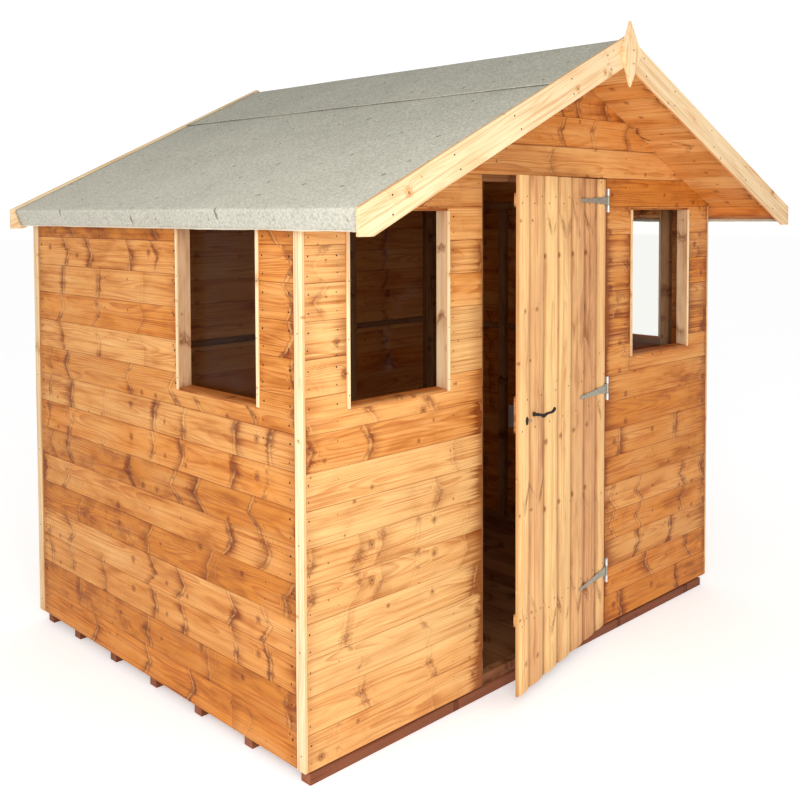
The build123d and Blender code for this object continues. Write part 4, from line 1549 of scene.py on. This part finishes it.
def lever():
    """Lever handles on both ends of the spindle: a small rose, a neck and a slim arm with a raised tip."""
    leaf = leaf_of_door()
    low, high = leaf.closed_box("lever_handle")
    x, z = leaf.spindle.x, leaf.spindle.z
    stretch = high.x - x
    bm = bmesh.new()
    for face, arm, way in (
        (leaf.low.y - 0.0004, low.y + 0.0045, -1),
        (leaf.lock_high.y + 0.0004, high.y - 0.0045, 1),
    ):
        disc(bm, (x, face, z), (0, way, 0), ROSE, ROSE_THICK, 0.001)
        depths = (face, (face + arm) / 2, arm - way * 0.001)
        merge(bm, rod([(x, y, z, radius) for y, radius in zip(depths, NECK)]))
        merge(bm, rod([(x + share * stretch, arm, z + rise, radius) for share, rise, radius in LEVER_CURVE]))
    ends = (leaf.low.y - 0.002, (leaf.low.y + leaf.lock_high.y) / 2, leaf.lock_high.y + 0.002)
    merge(bm, rod([(x, y, z, SPINDLE) for y in ends]))
    hang(bm)
    finish_piece("lever_pair", bm, "black_steel", "handle", ("lever_handle",), smooth=True)


def lock():
    """Rim lock on the inside of the leaf, and its keep on the frame."""
    leaf = leaf_of_door()
    low, high = leaf.lock_low, leaf.lock_high
    bm = clean_copy("lock_case")
    ease(bm, sharp_edges(bm, radians(60)), 0.0012, 2)
    screws = bmesh.new()
    for x in (low.x + 0.012, high.x - 0.012):
        for z in (low.z + 0.010, high.z - 0.010):
            screw_head(screws, (x, high.y, z), (0, 1, 0), SMALL_SCREW)
    hang(screws)
    merge(bm, screws)
    finish_piece("rim_lock", bm, "black_steel", "door", ("lock_case",), smooth=True)
    finish_piece("lock_keep_plate", eased_copy("lock_keep", 0.001), "black_steel", "shed", ("lock_keep",))


def keyhole_cover():
    """Upright oval cover below the lever with a round boss on it, and two screws of the lock beside it."""
    leaf = leaf_of_door()
    face = leaf.low.y
    x, z = leaf.low.x + KEYHOLE_IN, leaf.spindle.z - KEYHOLE_DROP
    bm = bmesh.new()
    disc(bm, (x, face + 0.0035, z), OUT, 0.010, 0.0055, 0.001, 20)
    for vert in bm.verts:
        vert.co.z = z + (vert.co.z - z) * COVER_STRETCH
    disc(bm, (x, face - 0.002, z + 0.004), OUT, 0.0065, 0.002, 0.0008, 16)
    hang(bm)
    finish_piece("keyhole_cover", bm, "black_steel", "door")
    bm = bmesh.new()
    for across, depth, rise, radius in LOCK_SCREWS:
        screw_head(bm, (leaf.low.x + across, face + depth, z + rise), OUT, radius)
    hang(bm)
    finish_piece("lock_screws", bm, "zinc_steel", "door")


# ---------------------------------------------------------------- trims

STRIP_NAIL_PITCH = 0.3
WINDOW_NAIL_PITCH = 0.18
BARGE_NAILS = (0.11, 0.33, 0.62, 0.90, 1.16)  # distances from the ridge
BARGE_ROWS = (0.24, 0.76)  # places across a bargeboard
FINIAL_NAILS = (0.35, 0.55)  # places up the finial


def finial():
    """The lozenge on the peak, its front planed back towards the tips."""
    bm = clean_copy("finial")
    low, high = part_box("finial")
    widest = max(bm.verts, key=lambda vert: round(vert.co.x, 5)).co.z
    cut(bm, (0, 0, widest), UP)
    for vert in bm.verts:
        if vert.co.y < low.y + 1e-4 and abs(vert.co.z - widest) > 1e-3:
            vert.co.y += (high.y - low.y) * sizes().tip_thinning
    ease(bm, sharp_edges(bm), sizes().arris)
    mark_grain(bm, random.Random("finial"), (0.2, 0.5), (0, 0, 1))
    finish_piece("finial_timber", bm, "pale_pine", "shed", ("finial",))


def nail_row(bm, x, y, low, high, normal, pitch, radius, chance):
    """Nails evenly spaced up a strip from one height to another."""
    start, end = Vector((x, y, low)), Vector((x, y, high))
    count = max(2, round((end - start).length / pitch) + 1)
    for i in range(count):
        stray = Vector(chance.uniform(-DRIFT, DRIFT) * (1 - abs(c)) for c in normal)
        stud_head(bm, start.lerp(end, i / (count - 1)) + stray, normal, radius)


def strip_nails(bm, radius, chance):
    """Nails up the corner strips and the strips round the windows."""
    m = measured()
    for low, high in spans("corner_strips"):
        sign = 1 if low.x > 0 else -1
        face = (high.x if sign > 0 else low.x) - sign * 0.0002
        y = (low.y + high.y) / 2
        nail_row(bm, face, y, low.z + 0.05, high.z - 0.06, (sign, 0, 0), STRIP_NAIL_PITCH, radius, chance)
    for low, high in spans("window_strips"):
        x, y = (low.x + high.x) / 2, (low.y + high.y) / 2
        if high.y < m.front + 0.001 and high.y - low.y < 0.015:
            y, normal = low.y, OUT
        else:
            x, normal = (high.x, (1, 0, 0)) if low.x > 0 else (low.x, (-1, 0, 0))
        nail_row(bm, x, y, low.z + 0.04, high.z - 0.04, normal, WINDOW_NAIL_PITCH, radius * 0.75, chance)


def barge_nails(bm, radius, chance):
    """Two rows of nails down each bargeboard, front and rear."""
    m = measured()
    for side, sign in SIDES:
        node = f"{side}_bargeboards"
        low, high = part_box(node)
        board = clean_copy(node)
        ridge = [vert.co.z for vert in board.verts if abs(vert.co.x) < 0.002]
        board.free()
        top, bottom = max(ridge), min(ridge)
        for face, normal in ((low.y, OUT), (high.y, (0, 1, 0))):
            for reach in BARGE_NAILS:
                for share in BARGE_ROWS:
                    x = sign * (reach + chance.uniform(-0.02, 0.02))
                    z = bottom + (top - bottom) * share - m.slope * abs(x)
                    stud_head(bm, (x, face, z), normal, radius * 1.1)


def trim_nails():
    radius = sizes().nail * 0.9
    chance = random.Random("trim nails")
    bm = bmesh.new()
    strip_nails(bm, radius, chance)
    barge_nails(bm, radius, chance)
    low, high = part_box("finial")
    for share in FINIAL_NAILS:
        stud_head(bm, (0.003, low.y, low.z + (high.z - low.z) * share), OUT, radius)
    finish_piece("trim_nails", bm, "nail_steel", "shed")


# ---------------------------------------------------------------- stage


def studio_floor(stage):
    """A wide pale floor at the shed's feet."""
    bm = bmesh.new()
    bmesh.ops.create_grid(bm, x_segments=2, y_segments=2, size=stage.floor_reach)
    mesh = bpy.data.meshes.new("studio_floor")
    bm.to_mesh(mesh)
    bm.free()
    mesh.materials.append(floor_finish())
    ground = bpy.data.objects.new("studio_floor", mesh)
    bpy.context.scene.collection.objects.link(ground)


def studio_sky(stage):
    """Even light all round, in front of a backdrop of its own brightness."""
    sky = Shader(bpy.data.worlds.new("studio"))
    seen = sky.node("ShaderNodeLightPath", output="Is Camera Ray")
    strengths = {"Value": seen, "To Min": stage.sky, "To Max": stage.backdrop}
    strength = sky.node("ShaderNodeMapRange", None, strengths)
    back = sky.node("ShaderNodeBackground", None, {"Color": (1.0, 1.0, 1.0), "Strength": strength})
    bpy.context.scene.world = sky.output(back, "ShaderNodeOutputWorld")
    bpy.context.scene.view_settings.view_transform = "Standard"


def softbox(stage):
    """One large square light in front of the shed's left corner."""
    lamp = bpy.data.lights.new("softbox", "AREA")
    lamp.shape = "SQUARE"
    lamp.size = stage.key_size
    lamp.energy = stage.key_power
    key = bpy.data.objects.new("softbox", lamp)
    key.location = stage.key
    key.rotation_mode = "QUATERNION"
    key.rotation_quaternion = (Vector(stage.key_aim) - Vector(stage.key)).to_track_quat("-Z", "Y")
    key.visible_camera = False
    bpy.context.scene.collection.objects.link(key)


def stand_camera(stage):
    yaw, pitch, roll = stage.yaw, stage.pitch, stage.roll
    ahead = Vector((sin(yaw) * cos(pitch), cos(yaw) * cos(pitch), -sin(pitch)))
    level = Vector((cos(yaw), -sin(yaw), 0))
    upright = level.cross(ahead)
    right = level * cos(roll) + upright * sin(roll)
    top = upright * cos(roll) - level * sin(roll)
    view = bpy.data.cameras.new("camera")
    view.lens = stage.lens
    view.shift_x = stage.shift_x
    view.shift_y = stage.shift_y
    camera = bpy.data.objects.new("camera", view)
    camera.matrix_world = Matrix.Translation(stage.eye) @ turned(right, top, -ahead)
    bpy.context.scene.collection.objects.link(camera)
    bpy.context.scene.camera = camera


# ---------------------------------------------------------------- operators


class SHED_OT_stage(bpy.types.Operator):
    """Floor, light and camera"""

    bl_idname = "shed.stage"
    bl_label = "Stage"

    def execute(self, context):
        stage = context.scene.shed_stage
        studio_floor(stage)
        studio_sky(stage)
        softbox(stage)
        stand_camera(stage)
        return {"FINISHED"}


class SHED_OT_floor(bpy.types.Operator):
    """Lay the deck and the bearers under it"""

    bl_idname = "shed.floor"
    bl_label = "Floor"

    def execute(self, context):
        floor_boarding()
        eased_timber("floor_bearers", "bearer_timber", sizes().sawn_arris, stained=(0.2, 0.7))
        return {"FINISHED"}


class SHED_OT_frame(bpy.types.Operator):
    """Ease the studs, rails, rafters, purlins and battens"""

    bl_idname = "shed.frame"
    bl_label = "Frame"

    def execute(self, context):
        walls = [f"{wall}_frame_{part}" for wall in ("front", "rear", "side") for part in ("studs", "rails")]
        for node in (*walls, "gable_rafters", "roof_purlins"):
            eased_timber(node, "frame_timber", sizes().arris, stained=(0.2, 0.7))
        eased_timber("eaves_battens", "dipped_boards", sizes().arris, stained=(0.5, 0.9))
        return {"FINISHED"}


class SHED_OT_cladding(bpy.types.Operator):
    """Board the four walls and the gable"""

    bl_idname = "shed.cladding"
    bl_label = "Cladding"

    def execute(self, context):
        front_cladding()
        gable_cladding()
        rear_cladding()
        for (side, sign), seed in zip(SIDES, (14, 15)):
            side_cladding(side, sign, seed)
        wall_nails()
        return {"FINISHED"}


class SHED_OT_roof_boards(bpy.types.Operator):
    """Board both slopes of the roof"""

    bl_idname = "shed.roof_boards"
    bl_label = "Roof boards"

    def execute(self, context):
        for side, sign in SIDES:
            roof_boarding(side, sign)
        return {"FINISHED"}


class SHED_OT_trims(bpy.types.Operator):
    """Corner strips, bargeboards and finial"""

    bl_idname = "shed.trims"
    bl_label = "Trims"

    def execute(self, context):
        for node, depth in (
            ("corner_strips", (0.1, 0.4)),
            ("left_bargeboards", (0.0, 0.15)),
            ("right_bargeboards", (0.35, 0.7)),
        ):
            eased_timber(node, "pale_pine", sizes().arris, stained=depth)
        finial()
        trim_nails()
        return {"FINISHED"}


class SHED_OT_windows(bpy.types.Operator):
    """Linings, sills, strips and glass"""

    bl_idname = "shed.windows"
    bl_label = "Windows"

    def execute(self, context):
        arris = sizes().arris * 0.7
        eased_timber("window_jambs", "lining_pine", arris, stained=(0.1, 0.7))
        eased_timber("window_heads_and_sills", "dipped_boards", arris, stained=(0.5, 0.9))
        eased_timber("window_strips", "pale_pine", arris, stained=(0.0, 0.2))
        frame["nodes"]["window_panes"].material_slots[0].material = finish_of("pane_glass")
        return {"FINISHED"}


class SHED_OT_felt(bpy.types.Operator):
    """Roof felt, its ridge strip and clout nails"""

    bl_idname = "shed.felt"
    bl_label = "Roof felt"

    def execute(self, context):
        for side, sign in SIDES:
            slope_felt(side, sign)
        ridge_strip()
        felt_nails()
        return {"FINISHED"}


class SHED_OT_door(bpy.types.Operator):
    """Door boards, ledges and braces"""

    bl_idname = "shed.door"
    bl_label = "Door"

    def execute(self, context):
        door_boarding()
        eased_timber("door_ledges", "door_pine", sizes().arris, (0.2, 0.6), "door")
        eased_timber("door_braces", "door_pine", sizes().arris, (0.3, 0.8), "door")
        return {"FINISHED"}


class SHED_OT_fittings(bpy.types.Operator):
    """Hinges, lock, keyhole cover and lever"""

    bl_idname = "shed.fittings"
    bl_label = "Fittings"

    def execute(self, context):
        hinges()
        lock()
        keyhole_cover()
        lever()
        return {"FINISHED"}


OPERATORS = (
    SHED_OT_stage, SHED_OT_floor, SHED_OT_frame, SHED_OT_cladding, SHED_OT_roof_boards, SHED_OT_trims,
    SHED_OT_windows, SHED_OT_felt, SHED_OT_door, SHED_OT_fittings,
)


class SHED_PT_panel(bpy.types.Panel):
    """Steps of the shed's finish"""

    bl_label = "Garden Shed"
    bl_space_type = "VIEW_3D"
    bl_region_type = "UI"
    bl_category = "Shed"

    def draw(self, context):
        for operator in OPERATORS:
            self.layout.operator(operator.bl_idname)


CLASSES = (ShedSizes, ShedColours, ShedStage, *OPERATORS, SHED_PT_panel)


def register():
    for item in CLASSES:
        bpy.utils.register_class(item)
    bpy.types.Scene.shed_sizes = bpy.props.PointerProperty(type=ShedSizes)
    bpy.types.Scene.shed_colours = bpy.props.PointerProperty(type=ShedColours)
    bpy.types.Scene.shed_stage = bpy.props.PointerProperty(type=ShedStage)


def unregister():
    del bpy.types.Scene.shed_sizes, bpy.types.Scene.shed_colours, bpy.types.Scene.shed_stage
    for item in reversed(CLASSES):
        bpy.utils.unregister_class(item)


def main():
    register()
    for operator in OPERATORS:
        group, name = operator.bl_idname.split(".")
        getattr(getattr(bpy.ops, group), name)()


if __name__ == "__main__":
    main()
